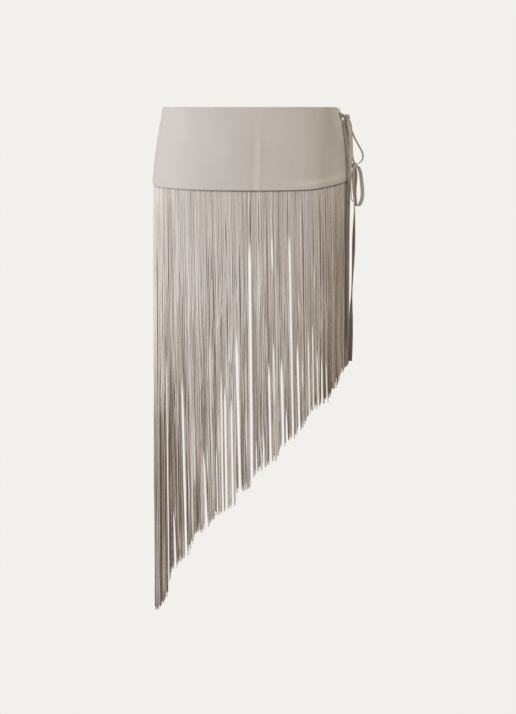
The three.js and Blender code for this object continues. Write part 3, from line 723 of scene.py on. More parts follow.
# Places where the picture shows the fringe open from front to back: where the gap starts, where it
# ends, and its full width, in pixels. The slits stay open down to the cords' ends, and the short
# slits close again.
Gap = namedtuple("Gap", "x top foot_x foot width")
SLITS = rows(
    Gap,
    (249.3, 236, 252.2, 492, 2.3), (289.0, 228, 293.0, 428, 1.5), (236.0, 330, 240.0, 484, 2.3),
    (268.6, 356, 270.8, 464, 2.0), (281.0, 352, 283.4, 446, 2.1), (297.0, 338, 299.6, 430, 1.8),
    (181.6, 372, 186.4, 552, 1.7), (220.8, 372, 223.0, 500, 1.3), (224.6, 380, 226.4, 505, 1.7),
    (231.0, 392, 233.0, 500, 1.6), (203.0, 445, 207.2, 525, 1.3), (286.0, 398, 287.4, 436, 0.7),
    (256.0, 430, 256.8, 476, 0.8), (308.0, 325, 309.6, 412, 0.8), (312.4, 315, 313.6, 408, 0.7),
    (316.6, 338, 318.4, 408, 0.8), (321.2, 345, 322.6, 404, 0.7), (325.6, 350, 327.0, 396, 0.7),
    (166.2, 350, 169.0, 585, 0.7), (173.6, 505, 175.6, 562, 1.1), (216.0, 440, 217.6, 512, 0.7),
    (262.5, 420, 264.2, 470, 0.7),
)
SHORT_SLITS = rows(
    Gap,
    (271.2, 226, 272.8, 284, 1.2), (273.4, 330, 274.4, 420, 0.8), (229.0, 330, 229.8, 380, 0.6),
    (302.0, 350, 302.8, 405, 0.7), (193.6, 400, 194.8, 500, 0.6), (245.6, 400, 246.2, 450, 0.6),
)

# Places where only the front fringe parts, so that the dark inside shows
SHADOW_GAPS = rows(
    Gap,
    (250.3, 188, 250.0, 250, 0.9), (258.5, 186, 260.4, 460, 0.7), (277.0, 235, 279.4, 440, 0.7),
    (287.5, 186, 288.5, 300, 0.6), (302.6, 200, 305.2, 400, 0.6), (319.6, 188, 321.6, 345, 0.8),
    (325.0, 184, 327.4, 350, 0.6), (239.4, 240, 240.6, 360, 0.7), (221.6, 290, 222.4, 380, 0.7),
    (161.0, 400, 161.6, 600, 0.7), (178.0, 420, 179.6, 555, 0.8), (193.0, 440, 194.4, 530, 0.7),
    (211.0, 420, 212.4, 510, 0.7),
)

# Narrow partings at random places, in pixels too
RANDOM_GAP_COUNT = 44
RANDOM_GAP_ACROSS = (156, 344)
RANDOM_GAP_TOP = (200, 430)
RANDOM_GAP_LENGTH = (50, 190)
RANDOM_GAP_WIDTH = (0.3, 0.6)

# How a gap opens, in pixels: where it starts above its top, where it is full below it, how softly the
# cords beside it are pushed aside, and how far away. Its slant goes on past its ends for this share
# of its length.
GAP_LEAD = 4
GAP_FADE = 26
GAP_SOFTNESS = 0.45
GAP_PUSH_REACH = 6
GAP_OVERRUN = 0.3

# The slant of the hanging cords, in pixels across for a pixel down, over the picture's width
Slant = namedtuple("Slant", "x lean")
SLANTS = rows(
    Slant,
    (152, 0.003), (162, 0.008), (176, 0.017), (190, 0.02), (240, 0.016),
    (292, 0.016), (318, 0.010), (336, 0.004), (350, -0.002),
)

# The cords nearest to the fringe's two edges stray less: from the edge to where they stray freely
FRINGE_SIDE_LONG = (153, 162)
FRINGE_SIDE_SHORT = (350, 341)


def leaning(across):
    return np.interp(across, [row.x for row in SLANTS], [row.lean for row in SLANTS])


def cut_height(x):
    return np.interp(x, [row.x for row in CUT_LINE], [row.height for row in CUT_LINE])


def random_gaps(rng):
    made = []
    for _ in range(RANDOM_GAP_COUNT):
        x = rng.uniform(*RANDOM_GAP_ACROSS)
        top = rng.uniform(*RANDOM_GAP_TOP)
        length = rng.uniform(*RANDOM_GAP_LENGTH)
        foot_x, foot = x + leaning(x) * length, top + length
        made.append(Gap(x, top, foot_x, foot, rng.uniform(*RANDOM_GAP_WIDTH)))
    return made


def part_cords(across, down, partings, share, closes):
    """Moves cords out of the gaps, each to its own side. The rows are cords and the columns places."""
    for gap in partings:
        run = (down - gap.top) / (gap.foot - gap.top)
        middle = gap.x + (gap.foot_x - gap.x) * np.clip(run, -GAP_OVERRUN, 1 + GAP_OVERRUN)
        start = np.argmin(np.abs(down - gap.top), axis=1)[:, None]
        side = np.sign(np.take_along_axis(across - middle, start, 1))
        side = np.where(side == 0, 1, side)
        opened = smoothstep(gap.top - GAP_LEAD, gap.top + GAP_FADE, down)
        if closes:
            opened = opened * (1 - smoothstep(gap.foot - GAP_FADE, gap.foot + GAP_LEAD, down))
        half = gap.width / 2 * share + CORD_RADIUS / PIXEL
        away = side * (across - middle)
        clear = half + 0.5 * ((away - half) + np.sqrt((away - half) ** 2 + GAP_SOFTNESS**2))
        near = np.abs(across - middle) < GAP_PUSH_REACH
        across = across + np.where(near, opened * (side * clear - (across - middle)), 0)
    return across


def cord_girths(rng, start, end, shift):
    """Where the cords of a layer are sewn in: even steps with a small jitter."""
    count = int((end - start) / CORD_PITCH)
    step = (end - start) / count
    slots = np.arange(count) + 0.5 + shift
    return start + (slots + rng.uniform(-CORD_JITTER, CORD_JITTER, count)) * step


def cord_feet(rng, girth, inset):
    """How low each cord ends: at the cut line, where its slant takes it, but a little unevenly."""
    count = len(girth)
    level = on_figure(girth, np.full(count, -HIP_DROP), inset)
    lean = leaning(seen_at(*level.T)[0])
    cut = cut_height(level[:, 0] + lean * (hem_height(girth) - cut_height(level[:, 0])))
    strays = rng.random(count) < STRAY_SHARE
    stray = np.where(strays, rng.uniform(*STRAY_LIFT, count), 0)
    return cut + rng.normal(0, CUT_UNEVEN, count) + stray


def cord_layer(rng, start, end, layer, shift, partings):
    """Places down the middle of each cord of a layer: an array of cords, places and coordinates."""
    girth = cord_girths(rng, start, end, shift)
    count = len(girth)
    hem = hem_height(girth)[:, None]
    root = hem + CORD_ROOT_ABOVE_HEM
    foot = cord_feet(rng, girth, layer.inset)[:, None]
    height = root + (foot - root) * np.linspace(0, 1, CORD_SEGMENTS + 1)
    free = np.clip(hem - height, 0, None)
    depth = layer.inset - relief(girth, hem[:, 0] + CORD_RELIEF_ABOVE_HEM)[:, None]
    depth = depth + rng.normal(0, DEPTH_UNEVEN, count)[:, None] * smoothstep(0, DEPTH_FREE_LENGTH, free)
    place = on_figure(np.repeat(girth[:, None], CORD_SEGMENTS + 1, 1), height, depth)
    across, down = seen_at(place[..., 0], place[..., 1], height)

    inward = smoothstep(*FRINGE_SIDE_LONG, across[:, :1]) * smoothstep(*FRINGE_SIDE_SHORT, across[:, :1])
    steep = rng.random(count) < STEEP_SHARE
    slant = rng.normal(0, np.where(steep, STEEP_SLANT, USUAL_SLANT))[:, None] * inward
    across = across + (leaning(across[:, :1]) + slant) * free / PIXEL
    for wave in CORD_WAVES:
        length = rng.uniform(*WAVE_LENGTH_RANGE, count)[:, None] * wave.length
        phase = rng.uniform(0, 2 * np.pi, count)[:, None]
        swing = wave.size * smoothstep(0, WAVE_FREE_LENGTH, free)
        swing = swing * np.sin(2 * np.pi * height / length + phase)
        swing = swing * (WAVE_SIDE_SHARE + (1 - WAVE_SIDE_SHARE) * inward)
        across = across + swing / PIXEL
        phase = rng.uniform(0, 2 * np.pi, count)[:, None]
        place[..., 1] += swing * WAVE_DEPTH_SHARE * np.cos(phase)

    across = part_cords(across, down, partings, layer.gap_share, True)
    across = part_cords(across, down, SHORT_SLITS, 1, True)
    across = part_cords(across, down, SLITS, 1, False)
    scale = PIXEL * (place[..., 1] - CAMERA_PLACE.y) / -CAMERA_PLACE.y
    place[..., 0] = CAMERA_PLACE.x + (across - PICTURE_WIDTH / 2) * scale
    return place


def cord_tones(rng, count):
    """A tone for each cord. Many cords share theirs with the cord beside them."""
    pairs = np.repeat(rng.random(count // 2 + 1), 2)[:count]
    paired = rng.random(count) < PAIRED_SHARE
    return np.where(paired, pairs, rng.random(count))


def cord_paths(start, end, seed, is_front):
    """The places of all the cords of a fringe, layer by layer, and their tones."""
    rng = np.random.default_rng(seed)
    partings = [*(SHADOW_GAPS if is_front else ()), *random_gaps(rng)]
    paths, tones = [], []
    for number, layer in enumerate(CORD_LAYERS):
        shift = LAYER_SHIFT * (2 * number - 1)
        paths.append(cord_layer(rng, start, end, layer, shift, partings))
        tones.append(cord_tones(rng, len(paths[-1])))
    return np.concatenate(paths), np.concatenate(tones)


def cord_faces(stops):
    """One cord's sides and ends. Each side has the uv of its corners, as numbers of sides and stops."""
    sides, ends, uv = [], [], []
    for stop in range(stops - 1):
        for side in range(CORD_SIDES):
            a, b = stop * CORD_SIDES + side, stop * CORD_SIDES + (side + 1) % CORD_SIDES
            sides.append((a + CORD_SIDES, b + CORD_SIDES, b, a))
            uv.append(((side, stop + 1), (side + 1, stop + 1), (side + 1, stop), (side, stop)))
    last = (stops - 1) * CORD_SIDES
    tip = stops * CORD_SIDES
    for side in range(CORD_SIDES):
        after = (side + 1) % CORD_SIDES
        ends.append((last + after, last + side, tip))
        ends.append((side, after, tip + 1))
    return sides, ends, np.array(uv)


def add_fringe(name, start, end, seed, is_front, material, cad_node):
    paths, tones = cord_paths(start, end, seed, is_front)
    rng = np.random.default_rng(seed + 1)
    count, stops = paths.shape[:2]
    radius = CORD_RADIUS * rng.uniform(*CORD_RADIUS_RANGE, (count, 1)) * np.ones(stops)
    radius[:, -1] *= CORD_TIP_SHARE
    angle = 2 * np.pi * np.arange(CORD_SIDES) / CORD_SIDES
    angle = angle + rng.uniform(0, 2 * np.pi, (count, 1, 1))
    section = np.stack([np.cos(angle), np.sin(angle), np.zeros_like(angle)], -1)
    rings = paths[:, :, None] + section * radius[:, :, None, None]
    tips = paths[:, -1] - np.array([0, 0, CORD_TIP_LENGTH])
    roots = paths[:, 0] + np.array([0, 0, CORD_ROOT_CAP])
    points = np.concatenate([rings.reshape(count, -1, 3), tips[:, None], roots[:, None]], 1)
    per_cord = points.shape[1]
    run = np.linspace(0, 1, stops) * (paths[:, :1, 2] - paths[:, -1:, 2])
    sides, ends, side_uv = cord_faces(stops)
    faces, uv = [], []
    for cord in range(count):
        faces += [tuple(cord * per_cord + corner for corner in face) for face in sides + ends]
        lengths = run[cord][side_uv[..., 1]]
        uv.append(np.stack([side_uv[..., 0] / CORD_SIDES, lengths], -1).reshape(-1, 2))
        uv.append(np.zeros((len(ends) * 3, 2)))
    uv = np.concatenate(uv)
    values = {"tone": np.repeat(tones, per_cord)}
    points = points.reshape(-1, 3)
    return add_piece(name, points, faces, material, cad_node, uv=uv, values=values)


def add_tape(name, start, end, material, cad_node):
    """The woven heading that holds the roots of the cords, sewn inside the hem."""
    girth = np.linspace(start, end, TAPE_STEPS)
    height = hem_height(girth) + (TAPE_TOP_ABOVE_HEM + TAPE_ROOT_ABOVE_HEM) / 2
    inset = CLOTH_THICKNESS + TAPE_CLEARANCE + TAPE_THICKNESS / 2
    line = on_figure(girth, height, inset - relief(girth, height))
    across = np.tile(np.array([0.0, 0.0, 1.0]), (len(line), 1))
    half_width = (TAPE_TOP_ABOVE_HEM - TAPE_ROOT_ABOVE_HEM) / 2
    half_width = half_width * (1 + TAPE_UNEVEN * np.sin(girth * TAPE_UNEVEN_PACE))
    thick = np.full(len(line), TAPE_THICKNESS / 2)
    points, faces, uv = sweep(line, across, half_width, thick)
    return add_piece(name, points, faces, material, cad_node, uv=uv)


def add_stitches(name, start, end, material, cad_node):
    """Two rows of hand-length stitches along the inner face of the tape."""
    points, faces = [], []
    inset = CLOTH_THICKNESS + TAPE_CLEARANCE + TAPE_THICKNESS
    rings = len(STITCH_TAPER)
    arch = STITCH_ARCH * np.sin(np.linspace(0, np.pi, rings))
    count = int((end - start - 2 * STITCH_END_MARGIN) / STITCH_PITCH)
    one_stitch, _ = ring_faces(rings, STITCH_SIDES, False)
    for above in STITCH_ROWS_ABOVE_HEM:
        for number in range(count):
            first_girth = start + STITCH_END_MARGIN + number * STITCH_PITCH
            girth = first_girth + np.linspace(0, STITCH_LENGTH, rings)
            height = hem_height(girth) + above
            line = on_figure(girth, height, inset + arch - relief(girth, height))
            _, _, turn_x, turn_y = outward(girth[rings // 2], height[rings // 2])
            first = len(points)
            for place, share in zip(line, STITCH_TAPER):
                for side in range(STITCH_SIDES):
                    angle = 2 * np.pi * side / STITCH_SIDES
                    out = np.array([turn_x, turn_y, 0]) * math.cos(angle)
                    up = np.array([0, 0, math.sin(angle)])
                    points.append(place + (out + up) * STITCH_RADIUS * share)
            faces += [[first + corner for corner in face] for face in one_stitch]
    return add_piece(name, points, faces, material, cad_node)


# Materials

# Colours are in linear light, and a tint multiplies the colour under it. A pair is a reach: where a
# change starts and where it is full. It lies across the belt, in its depth or in height.
NOISE_REACH = (0.3, 0.7)
FINE_RELIEF = 0.00012

CREPE_LIGHT = (0.515, 0.478, 0.470, 1)
CREPE_DARK = (0.468, 0.433, 0.417, 1)
# Painted highlight over the hem and along the free edges, as strong as the band's points carry it
CREPE_HIGHLIGHT_TINT = (1.28, 1.30, 1.30, 1)
# Painted warm shade towards the tied side
CREPE_TIED_SHADE_TINT = (0.99, 0.975, 0.915, 1)
CREPE_TIED_SHADE_ACROSS = (-0.04, 0.13)
# Painted highlight in the last strip before the front's free edge
CREPE_EDGE_HIGHLIGHT_TINT = (1.08, 1.01, 0.92, 1)
CREPE_EDGE_HIGHLIGHT_ACROSS = (0.159, 0.165)
# Painted shade in a hollow beside it
CREPE_HOLLOW_SHADE_TINT = (0.885, 0.875, 0.83, 1)
CREPE_HOLLOW_SHADE_START = (0.111, 0.124)
CREPE_HOLLOW_SHADE_END = (0.133, 0.148)
CREPE_SHADE_TINT = (0.66, 0.57, 0.48, 1)
CREPE_SHADE_ACROSS = (0.10, 0.12)
CREPE_SHADE_START = (-0.020, -0.010)
CREPE_SHADE_END = (0.006, 0.020)

CORD_PALE = (0.700, 0.660, 0.652, 1)
CORD_LIGHT = (0.640, 0.595, 0.572, 1)
CORD_MIDDLE = (0.465, 0.402, 0.352, 1)
CORD_DARK = (0.200, 0.146, 0.110, 1)
CORD_PALE_SHARE = (0.0, 0.30)
CORD_MIDDLE_SHARE = (0.28, 0.72)
CORD_DARK_SHARE = (0.68, 1.15)
CORD_PALE_TONE = (0.04, 0.16)
# Painted shade: darker low down, most of all at the long side and its lowest ends
CORD_LOW_SHADE_HEIGHT = (-0.34, -0.54)
CORD_LONG_SHADE_ACROSS = (-0.04, -0.135)
CORD_END_SHADE_HEIGHT = (-0.52, -0.66)
CORD_END_SHADE_ACROSS = (-0.10, -0.135)
# Painted shade, browner towards the tied side and a little less in the last strip by the edge
CORD_TIED_SHADE_TINT = (1.0, 0.955, 0.865, 1)
CORD_TIED_SHADE_ACROSS = (0.055, 0.17)
CORD_TIED_SHADE_HEIGHT = (-0.14, -0.30)
CORD_TIED_SHADE_LAST_ACROSS = (0.154, 0.163)
CORD_CLUMP_REACH = (0.32, 0.68)
# Painted shadow on the cords just under the hem, weaker towards the long side
CORD_HEM_SHADOW_TINT = (0.42, 0.34, 0.29, 1)
CORD_HEM_SHADOW_LENGTH = (0.0046, 0.0068)
CORD_HEM_SHADOW_ACROSS = (-0.11, -0.02)
CORD_TURNS_PER_METRE = 620
CORD_STRANDS = 2

# Ribbon colours with painted shade, as on its shaded side; a painted highlight on the loops at the right
RIBBON_LIT_PALE = (0.54, 0.470, 0.425, 1)
RIBBON_LIGHT = (0.46, 0.405, 0.365, 1)
RIBBON_DARK = (0.33, 0.278, 0.238, 1)
# Painted shade below the slanted line and beside the band
RIBBON_SHADED = (0.235, 0.188, 0.152, 1)
RIBBON_DEEP_SHADE = (0.135, 0.100, 0.077, 1)
RIBBON_MIDDLE_X = 0.168
RIBBON_SHADE_SLANT = 6.25
RIBBON_SHADE_HEIGHT = (-0.108, -0.140)
RIBBON_LIT_LOOP_BESIDE = (0.004, 0.010)
RIBBON_LIT_LOOP_HEIGHT = (-0.185, -0.170)
# Painted shade on the ribbon beside the band
RIBBON_INNER_SHADE_BESIDE = (-0.0025, -0.0065)
RIBBON_INNER_SHADE_SHARE = 0.55

THREAD_LIGHT = (0.50, 0.45, 0.41, 1)
THREAD_DARK = (0.40, 0.36, 0.328, 1)


class Paint:
    """A short way to build a material's nodes."""

    def __init__(self, name):
        self.material = bpy.data.materials.new(name)
        self.material.use_nodes = True
        self.tree = self.material.node_tree
        self.shader = self.tree.nodes["Principled BSDF"]

    def node(self, kind, **settings):
        made = self.tree.nodes.new(kind)
        for key, value in settings.items():
            setattr(made, key, value)
        return made

    def link(self, out, into):
        self.tree.links.new(out, into)

    def feed(self, socket, value):
        """Sets a socket to a number or a colour, or links it to another node's output."""
        if isinstance(value, (int, float, tuple)):
            socket.default_value = value
        else:
            self.link(value, socket)

    def set(self, **sockets):
        for key, value in sockets.items():
            self.feed(self.shader.inputs[key.replace("_", " ")], value)

    def place(self, stretch=(1, 1, 1)):
        """Object coordinates, stretched along each axis."""
        coordinates = self.node("ShaderNodeTexCoord")
        mapping = self.node("ShaderNodeMapping")
        mapping.inputs["Scale"].default_value = stretch
        self.link(coordinates.outputs["Object"], mapping.inputs["Vector"])
        return mapping.outputs["Vector"]

    def along(self):
        """Round the piece and along it, as its uv says."""
        return self.node("ShaderNodeUVMap", uv_map="along").outputs["UV"]

    def parts(self, vector):
        made = self.node("ShaderNodeSeparateXYZ")
        self.link(vector, made.inputs[0])
        return made.outputs["X"], made.outputs["Y"], made.outputs["Z"]

    def value(self, name):
        """A value that the mesh carries at its points."""
        return self.node("ShaderNodeAttribute", attribute_name=name).outputs["Fac"]

    def noise(self, vector, scale, detail=2.0, roughness=0.5):
        made = self.node("ShaderNodeTexNoise")
        made.inputs["Scale"].default_value = scale
        made.inputs["Detail"].default_value = detail
        made.inputs["Roughness"].default_value = roughness
        self.link(vector, made.inputs["Vector"])
        return made.outputs["Fac"]

    def math(self, operation, *values):
        made = self.node("ShaderNodeMath", operation=operation)
        for socket, value in zip(made.inputs, values):
            self.feed(socket, value)
        return made.outputs[0]

    def plus(self, first, second):
        return self.math("ADD", first, second)

    def times(self, first, second):
        return self.math("MULTIPLY", first, second)

    def ramp(self, value, reach, low=0, high=1):
        """The low number before the reach, the high one past it, and even steps between."""
        made = self.node("ShaderNodeMapRange")
        for socket, number in zip(made.inputs[1:5], (*reach, low, high)):
            socket.default_value = number
        self.link(value, made.inputs[0])
        return made.outputs[0]

    def mix(self, share, first, second, blend="MIX"):
        made = self.node("ShaderNodeMix", data_type="RGBA", blend_type=blend)
        for name, value in (("Factor", share), ("A", first), ("B", second)):
            named = [socket for socket in made.inputs if socket.name == name and socket.enabled]
            self.feed(next(socket for socket in named if socket.type in ("VALUE", "RGBA")), value)
        return next(socket for socket in made.outputs if socket.type == "RGBA")

    def tint(self, share, colour, tint):
        """The colour, multiplied by the tint as far as the share says."""
        return self.mix(share, colour, tint, "MULTIPLY")

    def bump(self, height, strength, distance=FINE_RELIEF):
        made = self.node("ShaderNodeBump")
        made.inputs["Strength"].default_value = strength
        made.inputs["Distance"].default_value = distance
        self.link(height, made.inputs["Height"])
        self.link(made.outputs["Normal"], self.shader.inputs["Normal"])


def crepe_material():
    """Matt crepe: a fine pebbled grain with a slight cross weave. Painted warm shade makes it a little
    browner at the tied side and painted shade darkens a hollow beside it; a painted highlight pales it
    over the hem, along the free edges and in the last strip before the front's free edge; and it is in
    shade where the opening's back edge turns inward."""
    paint = Paint("crepe")
    place = paint.place()
    grain = paint.noise(place, scale=1500, detail=3.0, roughness=0.6)
    slub = paint.noise(paint.place((1, 1, 0.25)), scale=420)
    cloud = paint.noise(place, scale=14)
    share = paint.plus(paint.ramp(cloud, NOISE_REACH, 0.1, 0.6), paint.ramp(slub, NOISE_REACH, -0.1, 0.3))
    share = paint.plus(share, paint.ramp(grain, NOISE_REACH, -0.15, 0.25))
    colour = paint.mix(share, CREPE_LIGHT, CREPE_DARK)

    across, depth, _ = paint.parts(place)
    # Painted warm shade towards the tied side
    colour = paint.tint(paint.ramp(across, CREPE_TIED_SHADE_ACROSS), colour, CREPE_TIED_SHADE_TINT)
    # A painted highlight in the last strip before the front's free edge
    colour = paint.tint(paint.ramp(across, CREPE_EDGE_HIGHLIGHT_ACROSS), colour, CREPE_EDGE_HIGHLIGHT_TINT)
    # Painted shade in the hollow beside the tied side
    hollow = paint.ramp(across, CREPE_HOLLOW_SHADE_START)
    hollow = paint.times(hollow, paint.ramp(across, CREPE_HOLLOW_SHADE_END, 1, 0))
    colour = paint.tint(hollow, colour, CREPE_HOLLOW_SHADE_TINT)
    # A painted highlight over the hem and along the free edges
    colour = paint.tint(paint.value("pressed"), colour, CREPE_HIGHLIGHT_TINT)
    shade = paint.times(paint.ramp(across, CREPE_SHADE_ACROSS), paint.ramp(depth, CREPE_SHADE_START))
    shade = paint.times(shade, paint.ramp(depth, CREPE_SHADE_END, 1, 0))
    colour = paint.tint(shade, colour, CREPE_SHADE_TINT)

    paint.bump(paint.plus(grain, paint.times(slub, 0.7)), strength=0.35)
    paint.set(Base_Color=colour, Roughness=0.86)
    paint.set(Sheen_Weight=0.22, Sheen_Roughness=0.5, Specular_IOR_Level=0.22)
    return paint.material


def cord_material():
    """Silky twisted cord. Cords differ in tone; painted shade makes them browner towards the tied side
    and the long lower ends, a painted shadow darkens them just under the hem, and a few stay pale all
    the way down."""
    paint = Paint("fringe_cord")
    tone = paint.value("tone")
    around, length, _ = paint.parts(paint.along())
    across, _, height = paint.parts(paint.place())
    # Painted shade, darker low down and most of all at the long side's lowest ends
    low = paint.ramp(height, CORD_LOW_SHADE_HEIGHT)
    long_side_shade = paint.ramp(across, CORD_LONG_SHADE_ACROSS, 0.34, 1)
    ends = paint.times(paint.ramp(height, CORD_END_SHADE_HEIGHT), paint.ramp(across, CORD_END_SHADE_ACROSS))
    # Painted shade, browner towards the tied side
    tied_shade = paint.ramp(across, CORD_TIED_SHADE_ACROSS)
    tied_shade = paint.times(tied_shade, paint.ramp(height, CORD_TIED_SHADE_HEIGHT, 0.55, 1))
    tied_shade = paint.times(tied_shade, paint.ramp(across, CORD_TIED_SHADE_LAST_ACROSS, 1, 0.85))
    clump = paint.noise(paint.place((1, 1, 0.05)), scale=80)
    mottle = paint.noise(paint.place((1, 1, 0.5)), scale=620, detail=3.0, roughness=0.7)

    share = paint.times(tone, paint.ramp(low, (0, 1), 0.50, 0.85))
    share = paint.plus(share, paint.times(paint.times(low, long_side_shade), 0.30))
    share = paint.plus(share, paint.times(ends, 0.24))
    share = paint.plus(share, paint.times(tied_shade, 0.46))
    uneven = paint.ramp(clump, CORD_CLUMP_REACH, -0.26, 0.34)
    share = paint.plus(share, paint.times(uneven, paint.ramp(low, (0, 1), 0.25, 1)))
    share = paint.times(share, paint.ramp(tone, CORD_PALE_TONE, 0.25, 1))
    share = paint.plus(share, paint.ramp(mottle, NOISE_REACH, -0.22, 0.22))
    colour = paint.mix(paint.ramp(share, CORD_PALE_SHARE), CORD_PALE, CORD_LIGHT)
    colour = paint.mix(paint.ramp(share, CORD_MIDDLE_SHARE), colour, CORD_MIDDLE)
    colour = paint.mix(paint.ramp(share, CORD_DARK_SHARE), colour, CORD_DARK)
    colour = paint.tint(tied_shade, colour, CORD_TIED_SHADE_TINT)
    # A painted shadow on the cords just under the hem
    root = paint.ramp(length, CORD_HEM_SHADOW_LENGTH, 1, 0)
    root = paint.times(root, paint.ramp(across, CORD_HEM_SHADOW_ACROSS, 0.10, 1))
    colour = paint.tint(root, colour, CORD_HEM_SHADOW_TINT)

    strand = paint.plus(paint.times(length, CORD_TURNS_PER_METRE), paint.times(around, CORD_STRANDS))
    twist = paint.math("SINE", paint.times(strand, 2 * math.pi))
    paint.bump(paint.plus(twist, paint.times(mottle, 0.8)), strength=0.5)
    paint.set(Base_Color=colour, Roughness=0.62)
    paint.set(Sheen_Weight=0.15, Sheen_Roughness=0.5, Specular_IOR_Level=0.3)
    return paint.material


def ribbon_material():
    """Self ribbon of the same crepe, coloured with painted shade as on its shaded side. Painted shade
    makes it darker below a slanted line and beside the band, and a painted highlight makes it paler on
    the loops at the right, which hang free in the light."""
    paint = Paint("tie_ribbon")
    place = paint.place()
    grain = paint.noise(place, scale=1600, detail=3.0, roughness=0.6)
    cloud = paint.noise(place, scale=38)
    share = paint.plus(paint.ramp(grain, NOISE_REACH, 0, 0.45), paint.ramp(cloud, NOISE_REACH, 0, 0.55))
    across, _, height = paint.parts(place)
    beside = paint.math("SUBTRACT", across, RIBBON_MIDDLE_X)
    slanted = paint.plus(paint.times(beside, RIBBON_SHADE_SLANT), height)
    # A painted highlight on the loops at the right
    loop = paint.times(paint.ramp(beside, RIBBON_LIT_LOOP_BESIDE), paint.ramp(height, RIBBON_LIT_LOOP_HEIGHT))
    # Painted shade beside the band
    inner = paint.ramp(beside, RIBBON_INNER_SHADE_BESIDE, 0, RIBBON_INNER_SHADE_SHARE)
    upper = paint.mix(share, RIBBON_LIGHT, RIBBON_DARK)
    upper = paint.mix(loop, upper, RIBBON_LIT_PALE)
    upper = paint.mix(inner, upper, RIBBON_SHADED)
    # Painted shade below the slanted line
    lower = paint.mix(share, RIBBON_SHADED, RIBBON_DEEP_SHADE)
    colour = paint.mix(paint.ramp(slanted, RIBBON_SHADE_HEIGHT), upper, lower)
    paint.bump(grain, strength=0.35)
    paint.set(Base_Color=colour, Roughness=0.78)
    paint.set(Sheen_Weight=0.15, Sheen_Roughness=0.5, Specular_IOR_Level=0.25)
    return paint.material


def tape_material():
    """Close woven tape: ribs across it, carried by its length."""
    paint = Paint("fringe_tape")
    wave = paint.node("ShaderNodeTexWave", bands_direction="Y")
    wave.inputs["Scale"].default_value = 0.4
    paint.link(paint.along(), wave.inputs["Vector"])
    grain = paint.noise(paint.place(), scale=1100)
    share = paint.plus(paint.times(wave.outputs["Fac"], 0.4), paint.times(grain, 0.6))
    paint.bump(share, strength=0.5, distance=0.0002)
    paint.set(Base_Color=paint.mix(share, CORD_MIDDLE, CORD_LIGHT), Roughness=0.8)
    paint.set(Sheen_Weight=0.15, Specular_IOR_Level=0.25)
    return paint.material


def thread_material():
    """Sewing thread, a little mottled by its fibres."""
    paint = Paint("thread")
    fibre = paint.noise(paint.place(), scale=4000)
    paint.bump(fibre, strength=0.3, distance=0.00005)
    colour = paint.mix(fibre, THREAD_LIGHT, THREAD_DARK)
    paint.set(Base_Color=colour, Roughness=0.55, Specular_IOR_Level=0.35)
    return paint.material


# The stage: a pale floor, and soft lamps round the belt

FLOOR_HEIGHT = -1.0
FLOOR_HALF_SIZE = 30
FLOOR_COLOUR = (0.62, 0.61, 0.58, 1)
BACKDROP = (0.8796, 0.8714, 0.8388, 1)
SKY_COLOUR = (1, 0.985, 0.96, 1)
SKY_STRENGTH = 0.46
Lamp = namedtuple("Lamp", "name place aim size power colour")
LAMPS = (
    Lamp("key", (-1.2, -2.5, 0.7), (-0.02, -0.1, -0.2), 1.6, 40, (1, 0.985, 0.975)),
    Lamp("left", (-2.6, -0.3, 0.3), (-0.1, 0, -0.2), 1.6, 32, (1, 0.995, 1)),
    Lamp("right", (2.4, -1.1, 0.2), (0.1, 0, -0.2), 1.6, 13, (1, 0.86, 0.66)),
    Lamp("back", (0.3, 2.6, 0.9), (0, 0.1, -0.35), 2.0, 26, (1, 0.99, 0.97)),
)


def shown_and_lit(tree, lit, plain_kind, output_kind):
    """The camera sees the backdrop's plain colour, and the belt is lit by the other shader."""
    path = tree.nodes.new("ShaderNodeLightPath")
    mix = tree.nodes.new("ShaderNodeMixShader")
    plain = tree.nodes.new(plain_kind)
    plain.inputs["Color"].default_value = BACKDROP
    out = tree.nodes.new(output_kind)
    tree.links.new(path.outputs["Is Camera Ray"], mix.inputs[0])
    tree.links.new(lit.outputs[0], mix.inputs[1])
    tree.links.new(plain.outputs[0], mix.inputs[2])
    tree.links.new(mix.outputs[0], out.inputs["Surface"])


def add_stage():
    mesh = bpy.data.meshes.new("floor")
    far = FLOOR_HALF_SIZE
    corners = [(-far, -far), (far, -far), (far, far), (-far, far)]
    mesh.from_pydata([(x, y, FLOOR_HEIGHT) for x, y in corners], [], [(0, 1, 2, 3)])
    floor = set_down("floor", mesh)
    material = bpy.data.materials.new("pale_floor")
    material.use_nodes = True
    tree = material.node_tree
    tree.nodes.clear()
    lit = tree.nodes.new("ShaderNodeBsdfDiffuse")
    lit.inputs["Color"].default_value = FLOOR_COLOUR
    shown_and_lit(tree, lit, "ShaderNodeEmission", "ShaderNodeOutputMaterial")
    mesh.materials.append(material)


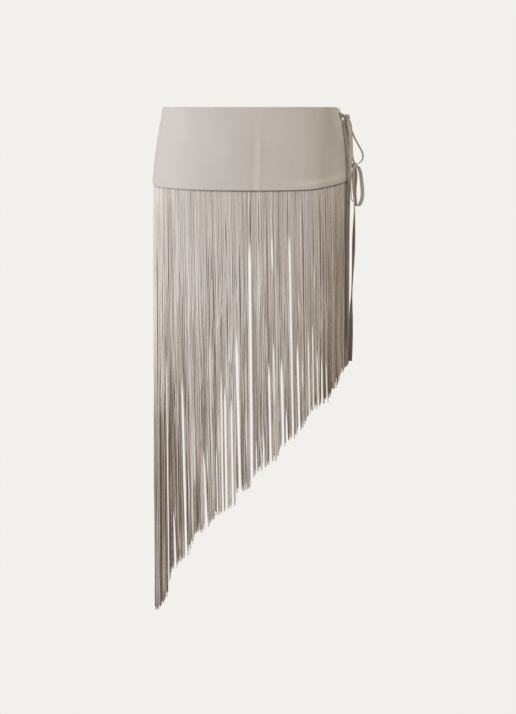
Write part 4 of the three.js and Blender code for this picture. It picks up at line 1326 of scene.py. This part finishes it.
def add_world():
    world = bpy.data.worlds.new("studio")
    world.use_nodes = True
    tree = world.node_tree
    tree.nodes.clear()
    lit = tree.nodes.new("ShaderNodeBackground")
    lit.inputs["Color"].default_value = SKY_COLOUR
    lit.inputs["Strength"].default_value = SKY_STRENGTH
    shown_and_lit(tree, lit, "ShaderNodeBackground", "ShaderNodeOutputWorld")
    bpy.context.scene.world = world


def add_lamps():
    for lamp in LAMPS:
        light = bpy.data.lights.new(lamp.name, "AREA")
        light.shape = "DISK"
        light.size = lamp.size
        light.energy = lamp.power
        light.color = lamp.colour
        seat = set_down(lamp.name, light, lamp.place)
        aim = Vector(lamp.aim) - Vector(lamp.place)
        seat.rotation_euler = aim.to_track_quat("-Z", "Y").to_euler()


def build():
    add_camera()
    ribbon = ribbon_material()
    add_tail("tail_upper_front", UPPER_FRONT_TAIL, 1, ribbon, "tie_upper_tail_front")
    add_tail("tail_upper_back", UPPER_BACK_TAIL, 2, ribbon, "tie_upper_tail_back")
    add_tail("tail_lower_front", LOWER_FRONT_TAIL, 3, ribbon, "tie_lower_tail_front")
    add_tail("tail_lower_back", LOWER_BACK_TAIL, 4, ribbon, "tie_lower_tail_back")
    add_bow(UPPER_KNOT, {"back": UPPER_BACK_LOOP, "front": UPPER_FRONT_LOOP}, ribbon)
    add_bow(LOWER_KNOT, {"back": LOWER_BACK_LOOP, "front": LOWER_FRONT_LOOP}, ribbon)

    crepe = crepe_material()
    front = add_band("band_front", SEAM_GAP / 2, front_edge_girth, True, crepe, "yoke_front")
    back = add_band("band_back", back_edge_girth, hip_girth - SEAM_GAP / 2, False, crepe, "yoke_back")

    cord, tape, thread = cord_material(), tape_material(), thread_material()
    spans = {
        "front": (TAPE_END_MARGIN, front_edge_girth - TAPE_CORNER_MARGIN),
        "back": (back_edge_girth + TAPE_CORNER_MARGIN, hip_girth - TAPE_END_MARGIN),
    }
    for side, (start, end) in spans.items():
        cad_node = f"fringe_{side}"
        seed = CORD_SEEDS[side]
        hung = [
            add_tape(f"tape_{side}", start, end, tape, cad_node),
            add_fringe(f"cords_{side}", start, end, seed, side == "front", cord, cad_node),
            add_stitches(f"stitches_{side}", start, end, thread, cad_node),
        ]

    add_lamps()
    add_stage()
    add_world()
    bpy.context.scene.view_settings.view_transform = "Standard"


build()
